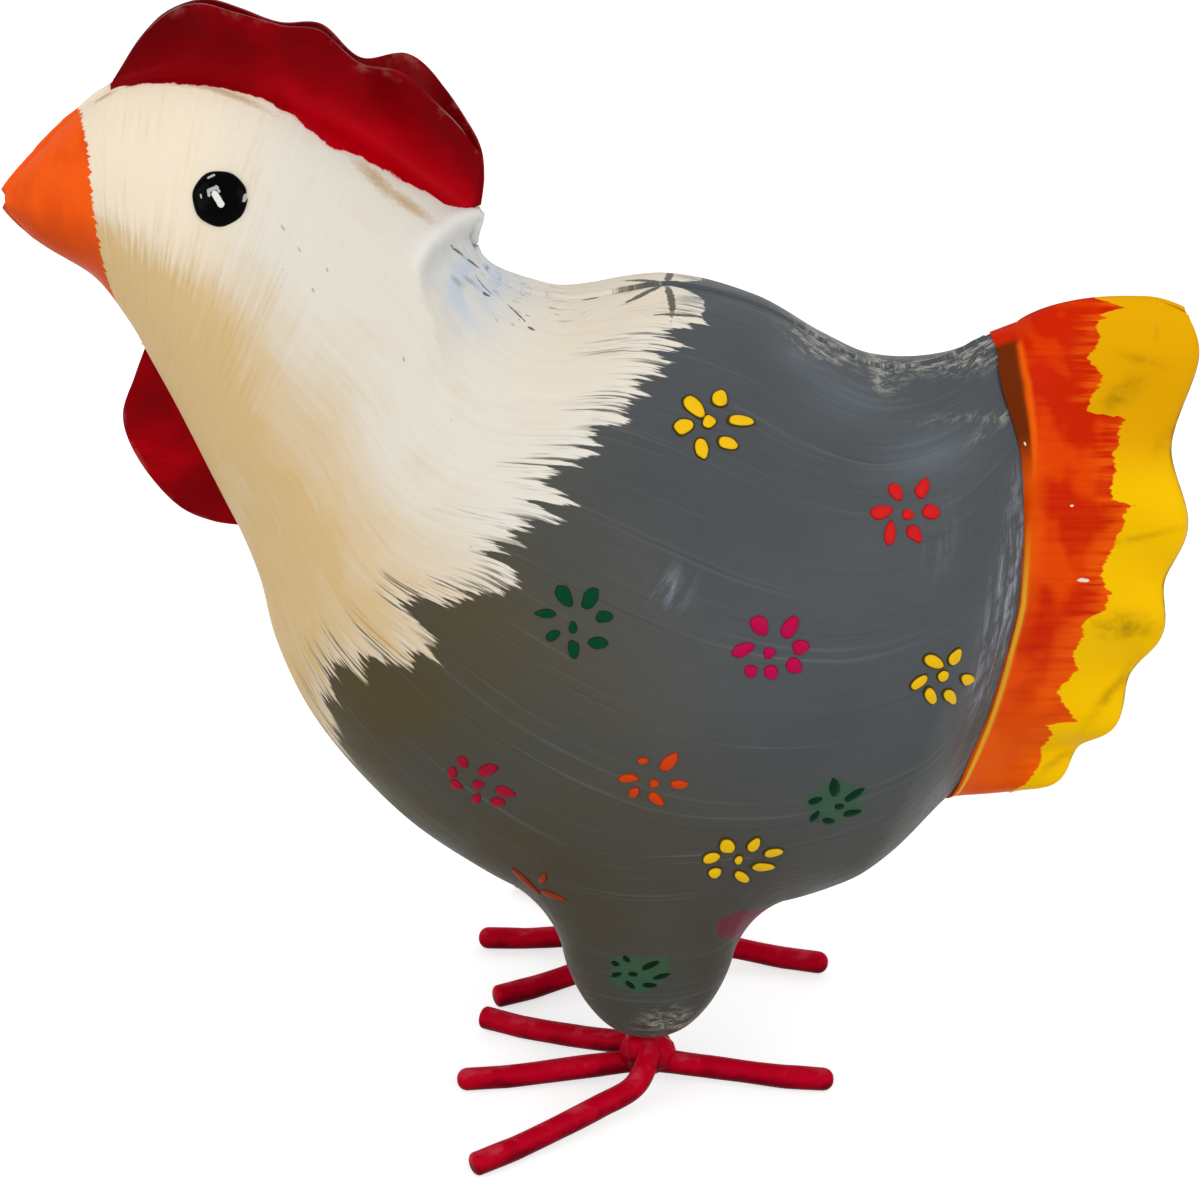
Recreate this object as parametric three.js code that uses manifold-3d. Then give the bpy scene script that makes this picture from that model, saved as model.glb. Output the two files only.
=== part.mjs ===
// A hen figurine of painted sheet iron: two pressed half shells welded along a seam in the middle plane,
// two hollow comb leaves, a wattle plate, two fluted tail panels, leg cups and feet of bent rod.
// Millimetres, +Z up, the beak towards -X, the left half on the -Y side. The feet stand on z = 0.
import * as THREE from "three";
import { mergeVertices } from "three/addons/utils/BufferGeometryUtils.js";
import Module from "manifold-3d";

const wasm = await Module();
wasm.setup();

// Main sizes. The outlines further down are drawn for these sizes and stretch with them.
const henLength = 228.7; // from the beak's tip to the tail's rear edge
const henHeight = 219.9; // from the floor to the top of the comb
const bellyHeight = 35.0; // from the floor to the lowest point of the belly
const bodyWidth = 94.0; // across the two half shells

// General sizes
const sheet = 1.0; // thickness of the iron sheet
const clearance = 0.3; // gap that neighbouring pieces keep, closed by weld and paint
const seamGap = 1.6; // between the rims of the two half shells
const weldProud = 0.5; // how far a seam weld stands out
const weldDepth = 1.2; // how far a seam weld reaches in
const weldGap = 0.012; // left at the ends of a seam weld, as a share of the seam line

// Body half: one station after another from the beak to the tail root, each with its point on the top seam
// line, its point on the lower seam line (x, z), its half width and how round its lower half is: 1 is an
// ellipse and less is fuller
const bodyStations = [
  { top: [-112.4, 184.0], low: [-112.4, 180.4], half: 1.6, round: 1 },
  { top: [-105.0, 192.0], low: [-106.0, 174.0], half: 8.0, round: 1 },
  { top: [-97.0, 199.6], low: [-95.5, 167.0], half: 13.0, round: 1 },
  { top: [-89.5, 204.6], low: [-89.5, 158.5], half: 17.0, round: 1 },
  { top: [-77.0, 207.2], low: [-86.0, 151.0], half: 20.5, round: 1 },
  { top: [-62.0, 204.6], low: [-82.0, 142.0], half: 23.0, round: 1 },
  { top: [-48.0, 197.6], low: [-78.0, 132.5], half: 25.5, round: 1 },
  { top: [-35.0, 188.6], low: [-74.0, 123.0], half: 28.0, round: 1 },
  { top: [-23.5, 178.5], low: [-70.5, 115.0], half: 30.5, round: 1 },
  { top: [-18.0, 168.0], low: [-67.5, 106.0], half: 34.0, round: 1 },
  { top: [-7.6, 162.6], low: [-65.0, 94.0], half: 38.0, round: 0.95 },
  { top: [14.3, 165.2], low: [-57.0, 75.5], half: 42.5, round: 0.9 },
  { top: [31.0, 160.8], low: [-38.0, 53.5], half: 46.0, round: 0.8 },
  { top: [44.0, 153.8], low: [-9.0, 37.2], half: 47.0, round: 0.7 },
  { top: [54.0, 150.2], low: [21.0, 35.0], half: 45.0, round: 0.7 },
  { top: [65.0, 151.4], low: [50.0, 39.5], half: 34.0, round: 0.75 },
  { top: [75.0, 155.6], low: [70.5, 55.0], half: 14.0, round: 0.9 },
];
const tailBow = 10; // how far the rear end of the body bows back at half height
const bowFrom = 0.8; // where along the body that starts
const hollowFrom = 0.1; // where along the body the hollow starts, behind the solid beak tip

// Comb: the free edge of a leaf from front to rear (x, z), and how the leaf stands
const combEdge = [
  [-90.5, 204.9],
  [-84.7, 213.2],
  [-79.0, 218.2],
  [-73.3, 219.9],
  [-66.1, 218.1],
  [-58.8, 215.7],
  [-51.5, 215.1],
  [-44.3, 208.7],
  [-36.8, 208.2],
  [-29.6, 202.0],
  [-22.4, 192.4],
];
const combFoot = 4.4; // from the middle plane to the foot of a leaf
const combWaist = 0.15; // share of a leaf's height where it has closed up on the middle plane
const combFlare = 6.2; // how far the rear lobes of the two leaves each lean out
const combFlareFrom = 0.58; // where along the edge the leaning lobe starts
const combFlareTo = 0.97; // where it ends

// Wattle: a flat plate held in the throat seam
const wattleFrom = 0.235; // upper end of its root along the lower seam line
const wattleTo = 0.5; // lower end of its root
const wattleEdge = [
  [-90.1, 146.5],
  [-92.9, 138.2],
  [-90.2, 128.7],
  [-82.9, 119.1],
  [-76.5, 116.0],
];
const wattleTongue = 2.5; // how deep the root sits in the seam

// Tail panels: scalloped rear edge from top to bottom (x, z), each second point the crest of a flute
const tailEdge = [
  [110.4, 161.8],
  [115.9, 147.0],
  [112.0, 131.0],
  [116.3, 115.6],
  [113.0, 102.9],
  [113.4, 92.6],
  [107.8, 82.4],
  [105.6, 72.0],
  [97.7, 64.5],
  [94.0, 57.6],
  [86.0, 54.2],
];
const tailInset = 0.1; // angle left between the panel's ends and the seam at the body's rear rim
const flangeTop = 4.0; // from the body's rear rim back to the panel's front ridge, at the top
const flangeLow = 1.8; // the same further down
const ridgeStep = 2.0; // how far the ridge stands out from the body's rear rim
const tailArch = 3.8; // rise of the tail's upper edge
const fluteDepth = 1.6; // depth of the flutes at the rear edge
const panelBend = 1.2; // how hollow a panel is from ridge to edge: 1 is straight
const flangeFade = 3; // how soon the flange narrows down the panel
const archFade = 4; // how soon the arch dies away down the panel

// Legs and feet
const legX = 10.0; // leg axis along the body
const legY = 25.0; // leg axis from the middle plane
const legAlong = 0.8; // place along the body that lies over the legs
const legSlim = 0.84; // the cup is this much narrower across the body than along it
const legProfile = [
  [7.0, 2.0],
  [12.1, 7.4],
  [16.5, 15.6],
  [18.3, 22.4],
  [22.0, 30.0],
]; // radius of the leg cup and its height above the cup's tip
const rodDiameter = 4.8;
const soleFlat = 0.3; // flat worn under the toes
const archRise = 3.5; // how far the long rod lifts off the floor under the leg
const middleToe = 37.0; // reach of each toe from the leg axis
const rearToe = 36.0;
const sideToe = 34.0;
const outerSpread = 31.5; // outer toe tip sideways from the leg axis
const innerToeGap = 1.8; // from the inner toe tip to the middle plane
const elbowGap = 3.2; // between the long rod and the bends of the cross rod
const shoulderOut = 0.55; // share of the way out to a bend where the cross rod has started down
const shoulderDrop = 1.44; // how far it has come down there
const elbowRun = 0.08; // share of a side toe where the bend ends
const elbowRise = 0.48; // how far above the long rod's axis that is
const rightFootTurn = 8.0; // degrees that the right foot is turned out
const rightFootBack = 2.5; // how far the right foot sits behind the left one
const footWeldRadius = 6.4;

// Eyes
const eyeDiameter = 10.4;
const eyeRise = 1.5;
const eyeAlong = 0.303; // place along the body, from beak to tail
const eyeAround = 1.09; // place around the body, from the top seam line

// Mesh fineness
const bodySteps = 38;
const bodyArcSteps = 16;
const rodSides = 8;
const rodSteps = 26;
const roundSteps = 20;
const weldSteps = 30;
const faceWeldSteps = 10;
const wattleSteps = 12;
const combSteps = 28;
const leafSteps = 5;
const tailSteps = 36;
const panelSteps = 6;
const cupSteps = 9;
const domeSteps = 6;
const halvings = 40; // of the span that a place on a line is searched in

const rodRadius = rodDiameter / 2;
const rim = seamGap / 2;

const paint = (color, roughness) => new THREE.MeshStandardMaterial({ color, roughness, metalness: 0.1 });
const greyPaint = paint(0x565a5a, 0.45);
const combPaint = paint(0x8e2420, 0.4);
const tailPaint = paint(0xd9862a, 0.45);
const eyePaint = paint(0x0b0b0c, 0.12);
const footPaint = paint(0x9c1b2c, 0.3);

// A closed geometry as a solid that can be joined and cut.
function solid(geometry) {
  const loose = geometry.index ? geometry.toNonIndexed() : geometry;
  const bare = new THREE.BufferGeometry();
  bare.setAttribute("position", loose.getAttribute("position"));
  const merged = mergeVertices(bare, 1e-4);
  const corners = merged.index.array;
  const kept = [];
  for (let i = 0; i < corners.length; i += 3) {
    const [a, b, c] = corners.slice(i, i + 3);
    if (a !== b && b !== c && c !== a) kept.push([a, b, c]);
  }
  const build = (faces) =>
    new wasm.Manifold(
      new wasm.Mesh({
        numProp: 3,
        vertProperties: merged.attributes.position.array,
        triVerts: new Uint32Array(faces.flat()),
      }),
    );
  const made = build(kept);
  return made.volume() < 0 ? build(kept.map(([a, b, c]) => [a, c, b])) : made;
}

// The main piece of what a cut leaves.
const largest = (made) => made.decompose().sort((a, b) => b.volume() - a.volume())[0];

const part = new THREE.Group();

function add(name, made, material) {
  const data = made.getMesh();
  const geometry = new THREE.BufferGeometry();
  geometry.setAttribute("position", new THREE.BufferAttribute(data.vertProperties, data.numProp));
  geometry.setIndex(new THREE.BufferAttribute(data.triVerts, 1));
  geometry.computeVertexNormals();
  const mesh = new THREE.Mesh(geometry, material.clone());
  mesh.name = name;
  part.add(mesh);
  return mesh;
}

// A piece of the left half and its mirror image on the right half.
function addPair(name, made, material) {
  add("left_" + name, made, material);
  add("right_" + name, made, material).scale.y = -1;
}

// A closed body through rings of equally many points, its ends closed by strips across the end rings.
function loft(rings) {
  const count = rings[0].length;
  const last = (rings.length - 1) * count;
  const faces = [];
  const quad = (a, b, c, d) => faces.push(a, b, c, a, c, d);
  for (let i = 0; i < last; i += count) {
    for (let j = 0; j < count; j++) {
      const k = (j + 1) % count;
      quad(i + j, i + k, i + count + k, i + count + j);
    }
  }
  for (let j = 0; 2 * j <= count - 3; j++) {
    const k = count - 1 - j;
    quad(j, k, k - 1, j + 1);
    quad(last + j, last + j + 1, last + k - 1, last + k);
  }
  const geometry = new THREE.BufferGeometry().setFromPoints(rings.flat());
  return solid(geometry.setIndex(faces));
}

const spline = (points) => new THREE.CatmullRomCurve3(points);
const steps = (count) => Array.from({ length: count + 1 }, (_, i) => i / count);
const { clamp, degToRad, lerp, smoothstep } = THREE.MathUtils;

// A point of the side view, stretched from the drawn outlines to the main sizes. The legs stay in place.
const drawnLength = Math.max(...tailEdge.map(([x]) => x)) - bodyStations[0].top[0];
const drawnBelly = Math.min(...bodyStations.map((s) => s.low[1]));
const drawnTop = Math.max(...combEdge.map(([, z]) => z));
const drawnWidth = 2 * Math.max(...bodyStations.map((s) => s.half));
function inPlane([x, z]) {
  const lengthways = henLength / drawnLength;
  const upwards = (henHeight - bellyHeight) / (drawnTop - drawnBelly);
  return new THREE.Vector3(legX + (x - legX) * lengthways, 0, bellyHeight + (z - drawnBelly) * upwards);
}

// The body's skin
const topLine = spline(bodyStations.map((s) => inPlane(s.top)));
const lowLine = spline(bodyStations.map((s) => inPlane(s.low)));
const sideways = bodyWidth / drawnWidth;
const girthLine = spline(bodyStations.map((s) => new THREE.Vector3(s.half * sideways, s.round, 0)));

// A point of the left half's outer skin: along from beak to tail, around from the top seam to the lower one.
function skin(along, around) {
  const top = topLine.getPoint(along);
  const low = lowLine.getPoint(along);
  const girth = girthLine.getPoint(along);
  const point = low.clone().lerp(top, 0.5 + 0.5 * Math.cos(around));
  const power = lerp(1, girth.y, smoothstep(around, Math.PI / 2, Math.PI));
  point.y = -rim - (girth.x - rim) * Math.max(Math.sin(around), 0) ** power;
  point.x += tailBow * Math.sin(around) * smoothstep(along, bowFrom, 1);
  return point;
}

// The outward direction of the skin.
function skinOut(along, around) {
  const step = 1e-3;
  const before = Math.max(along - step, 0);
  const after = Math.min(along + step, 1);
  const length = skin(after, around).sub(skin(before, around));
  const girth = skin(along, around + step).sub(skin(along, around - step));
  return girth.cross(length).normalize();
}

const lifted = (along, around, lift) => skin(along, around).addScaledVector(skinOut(along, around), lift);

const arc = steps(bodyArcSteps).map((v) => v * Math.PI);

function bodyRing(along, lift) {
  return arc.map((around) => {
    const point = lifted(along, around, lift);
    point.y = Math.min(point.y, -rim);
    return point;
  });
}

const outerHalf = loft(steps(bodySteps).map((u) => bodyRing(u, 0)));

// The hollow of a half shell runs out through the rim plane and through the open rear end.
function hollowRing(along, back) {
  const ring = bodyRing(along, -sheet);
  ring.unshift(ring[0].clone().setY(rim));
  ring.push(ring[ring.length - 1].clone().setY(rim));
  return ring.map((p) => p.setX(p.x + back));
}
const hollowRings = steps(bodySteps).map((u) => hollowRing(hollowFrom + (1 - hollowFrom) * u, 0));
hollowRings.push(hollowRing(1, tailBow));
addPair("body_shell", outerHalf.subtract(loft(hollowRings)), greyPaint);

// Seam welds: strips in the middle plane that follow the seam line through the points given.
function seamStrip(points, outward) {
  const line = points.map((p) => new THREE.Vector2(p.x, p.z));
  const side = (i, reach) => {
    const ahead = line[Math.min(i + 1, line.length - 1)];
    const behind = line[Math.max(i - 1, 0)];
    const run = ahead.clone().sub(behind).normalize();
    return line[i].clone().add(new THREE.Vector2(-run.y, run.x).multiplyScalar(reach * outward));
  };
  const outer = line.map((_, i) => side(i, weldProud));
  const inner = line.map((_, i) => side(i, -weldDepth)).reverse();
  return plate(new THREE.Shape([...outer, ...inner]));
}

// A flat plate in the middle plane that fits between the rims.
function plate(shape) {
  const depth = seamGap - 2 * clearance;
  const geometry = new THREE.ExtrudeGeometry(shape, { depth, bevelEnabled: false, curveSegments: 6 });
  geometry.translate(0, 0, -depth / 2);
  geometry.rotateX(Math.PI / 2);
  return solid(geometry);
}

const stretch = (line, from, to, count) => steps(count).map((u) => line.getPoint(from + (to - from) * u));

// The place along the top seam line that lies under x.
function alongTop(x) {
  let low = 0;
  let high = 1;
  for (let i = 0; i < halvings; i++) {
    const mid = (low + high) / 2;
    if (topLine.getPoint(mid).x < x) low = mid;
    else high = mid;
  }
  return low;
}
const combFrom = alongTop(inPlane(combEdge[0]).x);
const combTo = alongTop(inPlane(combEdge.at(-1)).x);
const backWeld = stretch(topLine, combTo + weldGap, 1 - weldGap, weldSteps);
const bellyWeld = stretch(lowLine, wattleTo + weldGap, 1 - weldGap, weldSteps);
const throatWeld = stretch(lowLine, wattleFrom - weldGap, weldGap, faceWeldSteps);
const browWeld = stretch(topLine, weldGap, combFrom - weldGap, faceWeldSteps);
add("back_seam_weld", seamStrip(backWeld, 1), greyPaint);
add("belly_seam_weld", seamStrip(bellyWeld, -1), greyPaint);
add("face_seam_weld", seamStrip([...throatWeld, ...browWeld], 1), greyPaint);

// Wattle
const tongue = (u) => {
  const p = lowLine.getPoint(u);
  const run = lowLine.getTangent(u);
  return new THREE.Vector2(p.x - run.z * wattleTongue, p.z + run.x * wattleTongue);
};
const wattleRoot = stretch(lowLine, wattleFrom, wattleTo, wattleSteps);
const wattleFree = spline([wattleRoot[0], ...wattleEdge.map(inPlane), wattleRoot[wattleSteps]]);
const wattleOutline = wattleFree.getPoints(2 * wattleSteps).map((p) => new THREE.Vector2(p.x, p.z));
const wattleShares = steps(wattleSteps).map((u) => lerp(wattleFrom, wattleTo, u));
const wattleHeld = wattleShares.map(tongue).reverse();
add("wattle", plate(new THREE.Shape([...wattleOutline, ...wattleHeld])), combPaint);

// Comb leaves
const combLine = spline(combEdge.map(inPlane));
const closed = -clearance - sheet; // outer face of a leaf or panel that lies on the middle plane

// One section across a leaf: up its outer face from the foot to the free edge, and down its inner face.
function combRing(u) {
  const free = combLine.getPoint(u);
  const along = alongTop(free.x);
  const half = girthLine.getPoint(along).x;
  const onCrown = (y) => lifted(along, Math.asin((y - rim) / (half - rim)), clearance);
  const foot = onCrown(combFoot);
  const crown = lifted(along, 0, clearance + sheet);
  const lobe = clamp((u - combFlareFrom) / (combFlareTo - combFlareFrom), 0, 1);
  free.y = closed - combFlare * Math.sin(Math.PI * lobe) ** 2;
  const waist = crown.lerp(free, combWaist).setY(closed);
  const outer = new THREE.QuadraticBezierCurve3(foot, waist, free).getPoints(leafSteps);
  const inner = outer.map((p) => p.clone().setY(Math.min(p.y + sheet, -clearance)));
  inner[0] = onCrown(combFoot - sheet);
  return [...outer, ...inner.reverse()];
}
addPair("comb_leaf", loft(steps(combSteps).map(combRing)), combPaint);

// Tail panels
const edgeLine = spline(tailEdge.map(inPlane));
const flutes = (tailEdge.length - 1) / 2;
const rootGap = 2.5 * clearance; // the rim is slanted, so the gap square to it is about half of this

// One section across a panel: from the body's rear rim over the ridge to the rear edge, and back inside.
function tailRing(s) {
  const around = tailInset + (Math.PI - 2 * tailInset) * s;
  const root = skin(1, around);
  const rootInside = lifted(1, around, -sheet);
  const ridge = root.clone();
  ridge.x += lerp(flangeLow, flangeTop, (1 - s) ** flangeFade);
  ridge.y = Math.min(root.y - ridgeStep * Math.sin(around), closed);
  const edge = edgeLine.getPoint(s).setY(closed);
  const flute = fluteDepth * Math.sin(Math.PI * flutes * s) ** 2;
  const face = steps(panelSteps).map((a) => {
    const p = ridge.clone().lerp(edge, a);
    p.y = closed + (ridge.y - closed) * (1 - a) ** panelBend - flute * a;
    p.z += tailArch * Math.sin(Math.PI * a) * (1 - s) ** archFade;
    return p;
  });
  const back = face.map((p) => p.clone().setY(Math.min(p.y + sheet, -clearance)));
  back[0].x += sheet / 2;
  root.x += rootGap;
  root.y = Math.min(root.y, closed);
  rootInside.x += rootGap;
  rootInside.y = Math.min(rootInside.y, -clearance);
  return [root, ...face, ...back.reverse(), rootInside];
}
addPair("tail_panel", loft(steps(tailSteps).map(tailRing)), tailPaint);

// Legs
const rodLow = rodRadius - soleFlat; // rod axis where a toe lies on the floor
const rodHub = rodLow + archRise; // long rod's axis under the leg
const bridgeHub = rodHub + rodDiameter + clearance; // cross rod's axis where it passes over the long rod
const crossing = (rodHub + bridgeHub) / 2; // where the two rods of a foot meet
const legTip = bridgeHub + rodRadius + clearance;
const bodyMiddle = skin(legAlong, Math.PI / 2).z; // the cups are made up to here and then cut to the belly

// The leg's bell shape, drawn in by a wall, as one solid of revolution.
function legCup(wall) {
  const points = [[0, 0], ...legProfile].map(([r, h]) => new THREE.Vector2(r, h));
  const profile = new THREE.SplineCurve(points).getPoints(cupSteps);
  profile.push(new THREE.Vector2(profile[cupSteps].x, bodyMiddle - legTip));
  const drawn = profile.map((p) => new THREE.Vector2(Math.max(p.x - wall, 0), p.y + wall));
  drawn[0].x = 0;
  drawn.push(new THREE.Vector2(0, drawn[drawn.length - 1].y));
  const geometry = new THREE.LatheGeometry(drawn, roundSteps);
  geometry.rotateX(Math.PI / 2);
  geometry.scale(1, legSlim, 1);
  return solid(geometry.translate(legX, -legY, legTip));
}
const grownHalf = loft(steps(bodySteps).map((u) => bodyRing(u, clearance)));
const cup = legCup(0).subtract(legCup(sheet)).subtract(grownHalf);
addPair("leg", largest(cup), greyPaint);

// Feet
const below = 2 * (middleToe + rearToe + outerSpread + legY); // wider than the feet reach
const floor = solid(new THREE.BoxGeometry(below, below, below).translate(0, 0, -below / 2));
function rod(points, radius) {
  const outline = new THREE.Shape();
  for (let i = 0; i < rodSides; i++) {
    const turn = ((i + 0.5) / rodSides) * 2 * Math.PI;
    const corner = new THREE.Vector2(radius * Math.cos(turn), radius * Math.sin(turn));
    if (i === 0) outline.moveTo(corner.x, corner.y);
    else outline.lineTo(corner.x, corner.y);
  }
  const extrudePath = spline(points);
  return solid(new THREE.ExtrudeGeometry(outline, { steps: rodSteps, bevelEnabled: false, extrudePath }));
}

const upright = new THREE.Vector3(0, 0, 1);
const toeLift = [
  [0.3, 0.65],
  [0.75, 0.12],
  [1, 0],
]; // along a toe from the leg to its tip, the share of the arch that is left
function foot(name, side, turnDegrees, back) {
  const hub = new THREE.Vector3(legX + back, side * legY, 0);
  const turn = -side * degToRad(turnDegrees);
  const straight = (reach) =>
    toeLift.map(([u, lift]) => {
      const point = new THREE.Vector3(u * reach, 0, rodLow + lift * archRise);
      return point.applyAxisAngle(upright, turn).add(hub);
    });
  const long = [...straight(-middleToe).reverse(), hub.clone().setZ(rodHub), ...straight(rearToe)];
  const elbow = rodDiameter + elbowGap;
  const spread = (sign, reach) => {
    const at = (x, y, z) => new THREE.Vector3(x, side * sign * y, z).add(hub);
    const branch = (u, z) => at(-u * sideToe, elbow + u * (reach - elbow), z);
    return [
      at(0, shoulderOut * elbow, bridgeHub - shoulderDrop),
      branch(elbowRun, rodHub + elbowRise),
      ...toeLift.map(([u, lift]) => branch(u, rodLow + lift * archRise)),
    ];
  };
  const inner = spread(-1, legY - innerToeGap - rodRadius);
  const cross = [...spread(1, outerSpread).reverse(), hub.clone().setZ(bridgeHub), ...inner];
  const bead = new THREE.SphereGeometry(footWeldRadius, 16, 8);
  bead.scale(1, 1, (legTip - crossing) / footWeldRadius).translate(hub.x, hub.y, crossing);
  const lid = new THREE.BoxGeometry(below, below, below);
  lid.translate(hub.x, hub.y, below / 2 + legTip - clearance);
  const weld = solid(bead)
    .subtract(rod(long, rodRadius + clearance))
    .subtract(rod(cross, rodRadius + clearance))
    .subtract(solid(lid));
  add(name + "_long_rod", rod(long, rodRadius).subtract(floor), footPaint);
  add(name + "_cross_rod", rod(cross, rodRadius).subtract(floor), footPaint);
  add(name + "_weld", largest(weld), footPaint);
}
foot("left_foot", -1, 0, 0);
foot("right_foot", 1, rightFootTurn, rightFootBack);

// Eyes: domed discs on the cheeks
const eyeProfile = steps(domeSteps).map((u) => {
  const turn = (u * Math.PI) / 2;
  return new THREE.Vector2((eyeDiameter / 2) * Math.cos(turn), eyeRise * Math.sin(turn));
});
eyeProfile[domeSteps].x = 0;
const eyeGeometry = new THREE.LatheGeometry([new THREE.Vector2(0, 0), ...eyeProfile], roundSteps);
const eyeOut = skinOut(eyeAlong, eyeAround);
eyeGeometry.applyQuaternion(new THREE.Quaternion().setFromUnitVectors(new THREE.Vector3(0, 1, 0), eyeOut));
eyeGeometry.translate(...lifted(eyeAlong, eyeAround, clearance).toArray());
addPair("eye", solid(eyeGeometry), eyePaint);

// The origin is the middle of the footprint box.
const box = new THREE.Box3().setFromObject(part);
part.children.forEach((mesh) => mesh.position.setX(-(box.min.x + box.max.x) / 2));

export default part;
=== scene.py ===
"""The looks of a painted sheet-iron hen figurine, built round its frame. Tables are in millimetres."""

import math

import bmesh
import bpy
import numpy as np
from bpy.props import FloatProperty, FloatVectorProperty, PointerProperty
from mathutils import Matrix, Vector, noise
from mathutils.bvhtree import BVHTree


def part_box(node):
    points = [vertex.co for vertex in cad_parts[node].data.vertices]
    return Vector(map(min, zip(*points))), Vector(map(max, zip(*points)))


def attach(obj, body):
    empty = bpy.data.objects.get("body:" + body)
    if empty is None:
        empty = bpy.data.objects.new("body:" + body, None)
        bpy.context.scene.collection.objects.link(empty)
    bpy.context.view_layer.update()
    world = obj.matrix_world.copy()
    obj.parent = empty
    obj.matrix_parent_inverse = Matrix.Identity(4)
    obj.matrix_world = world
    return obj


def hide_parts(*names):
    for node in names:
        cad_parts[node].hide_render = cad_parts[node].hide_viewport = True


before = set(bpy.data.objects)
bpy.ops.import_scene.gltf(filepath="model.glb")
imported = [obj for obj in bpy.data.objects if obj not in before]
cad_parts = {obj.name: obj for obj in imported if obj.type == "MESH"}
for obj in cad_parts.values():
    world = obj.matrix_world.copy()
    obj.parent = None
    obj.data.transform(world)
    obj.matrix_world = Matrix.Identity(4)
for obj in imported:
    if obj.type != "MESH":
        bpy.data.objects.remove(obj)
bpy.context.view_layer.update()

bl_info = {
    "name": "Painted Iron Hen",
    "version": (1, 0, 0),
    "blender": (4, 5, 0),
    "location": "View3D > Sidebar > Hen",
    "description": "Builds a painted sheet-iron hen figurine piece by piece",
    "category": "Object",
}

MM = 0.001

# The body's side view, station after station from beak to tail root: a point on the upper seam (x, z), a
# point on the lower seam (x, z), the half width there and how round the lower half is (1 is an ellipse, less
# is fuller).
STATIONS = (
    (-112.4, 184.0, -112.4, 180.4, 1.6, 1.0),
    (-105.0, 192.0, -106.0, 174.0, 8.0, 1.0),
    (-97.0, 199.6, -95.5, 167.0, 13.0, 1.0),
    (-89.5, 204.6, -89.5, 158.5, 17.0, 1.0),
    (-77.0, 207.2, -86.0, 151.0, 20.5, 1.0),
    (-62.0, 204.6, -82.0, 142.0, 23.0, 1.0),
    (-48.0, 197.6, -78.0, 132.5, 25.5, 1.0),
    (-35.0, 188.6, -74.0, 123.0, 28.0, 1.0),
    (-23.5, 178.5, -70.5, 115.0, 30.5, 1.0),
    (-18.0, 168.0, -67.5, 106.0, 34.0, 1.0),
    (-7.6, 162.6, -65.0, 94.0, 38.0, 0.95),
    (14.3, 165.2, -57.0, 75.5, 42.5, 0.9),
    (31.0, 160.8, -38.0, 53.5, 46.0, 0.8),
    (44.0, 153.2, -9.0, 37.2, 47.0, 0.7),
    (54.0, 148.6, 21.0, 35.0, 45.0, 0.7),
    (65.0, 149.6, 50.0, 39.8, 34.0, 0.75),
    (75.0, 154.9, 71.2, 55.8, 14.0, 0.9),
)
TAIL_BOW = 10.0  # how far the rear end of the body bows back at half height
BOW_FROM = 0.8  # where along the body that starts
RIM_TRIM = 2.5  # how much straighter the lower half of that end is
RIM_DRAW = 2.4  # how far that end is drawn in under the top of the tail
RIM_DRAW_AT = 0.55  # where round the skin it is drawn in most
RIM_DRAW_REACH = 0.28  # how far round the skin that reaches
SKIN_RIM = 0.3  # from the middle plane to the edge of a half skin, closed by the weld
BEAK_TIP = 0.012  # share of the hen's length over which the two halves draw together at the beak's tip
TIP_BEAD = 0.005  # share of the length from which the weld runs back from the tip
ALONG_MM = 250.0  # length of the skin from beak to tail, for the brush lines
AROUND_MM = 45.0  # length of one radian round the skin, for the brush lines
CROWN_MM = 22.0  # length of one radian round the crown, for the comb's paint edge
BODY_GRID = (260, 120)  # faces along and round a half skin
WELD = 0.001  # corners that are closer than this are merged
BEVEL = 0.0003  # rounding of a cut edge of the sheet, in metres

# The fold at the nape, in millimetres behind its crease: where its lip stands, how wide and high it is and
# how much lower away from the seam, where the hollow starts and ends, and where round the skin it fades.
LIP_PLACE = -1.4
LIP_WIDTH = 1.8
LIP_HEIGHT = 0.62
LIP_FALL = 0.36
HOLLOW_STARTS = (-0.8, 3.4)
HOLLOW_ENDS = (8.0, 32.0)
FOLD_FADES = (0.62, 0.92)
HAMMER_MARKS = ((24.0, 3.0, 1.0), (9.0, 11.0, 0.4))  # size of the lumps, place in the noise and share

# The middle of the footprint box is the frame's origin, so the drawn outlines move by this much.
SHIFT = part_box("left_body_shell")[0].x / MM - STATIONS[0][0]

# Paint edges on the skin, each as places (around, along) from the upper seam to the lower one.
FEATHER_EDGE = (
    (0.0, 0.688), (0.06, 0.69), (0.12, 0.7), (0.3, 0.706), (0.545, 0.703), (0.775, 0.703), (0.88, 0.687),
    (1.068, 0.69), (1.264, 0.693), (1.438, 0.691), (1.606, 0.69), (1.801, 0.675), (2.073, 0.68),
    (2.471, 0.684), (2.548, 0.692), (3.142, 0.692),
)
FEATHER_PATCH = (172.5, 7.6, 5.0, 5.2, 6.0)  # white round the weld marks: place, reach and push on the skin
BEAK_EDGE = ((0.0, 0.126), (0.5, 0.137), (0.935, 0.15), (1.431, 0.152), (2.129, 0.161), (3.142, 0.168))
NAPE_CREASE = (
    (0.0, 0.503), (0.244, 0.487), (0.559, 0.474), (0.712, 0.474), (0.81, 0.486), (0.838, 0.509), (0.9, 0.55),
)

# How the brush strokes of the neck turn up across the skin's own lines, as places (around, slope).
STROKE_TURN = ((0.0, -0.05), (0.4, 0.0), (0.9, 0.1), (1.4, 0.15), (1.9, 0.08), (2.5, 0.0), (3.142, 0.0))

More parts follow.
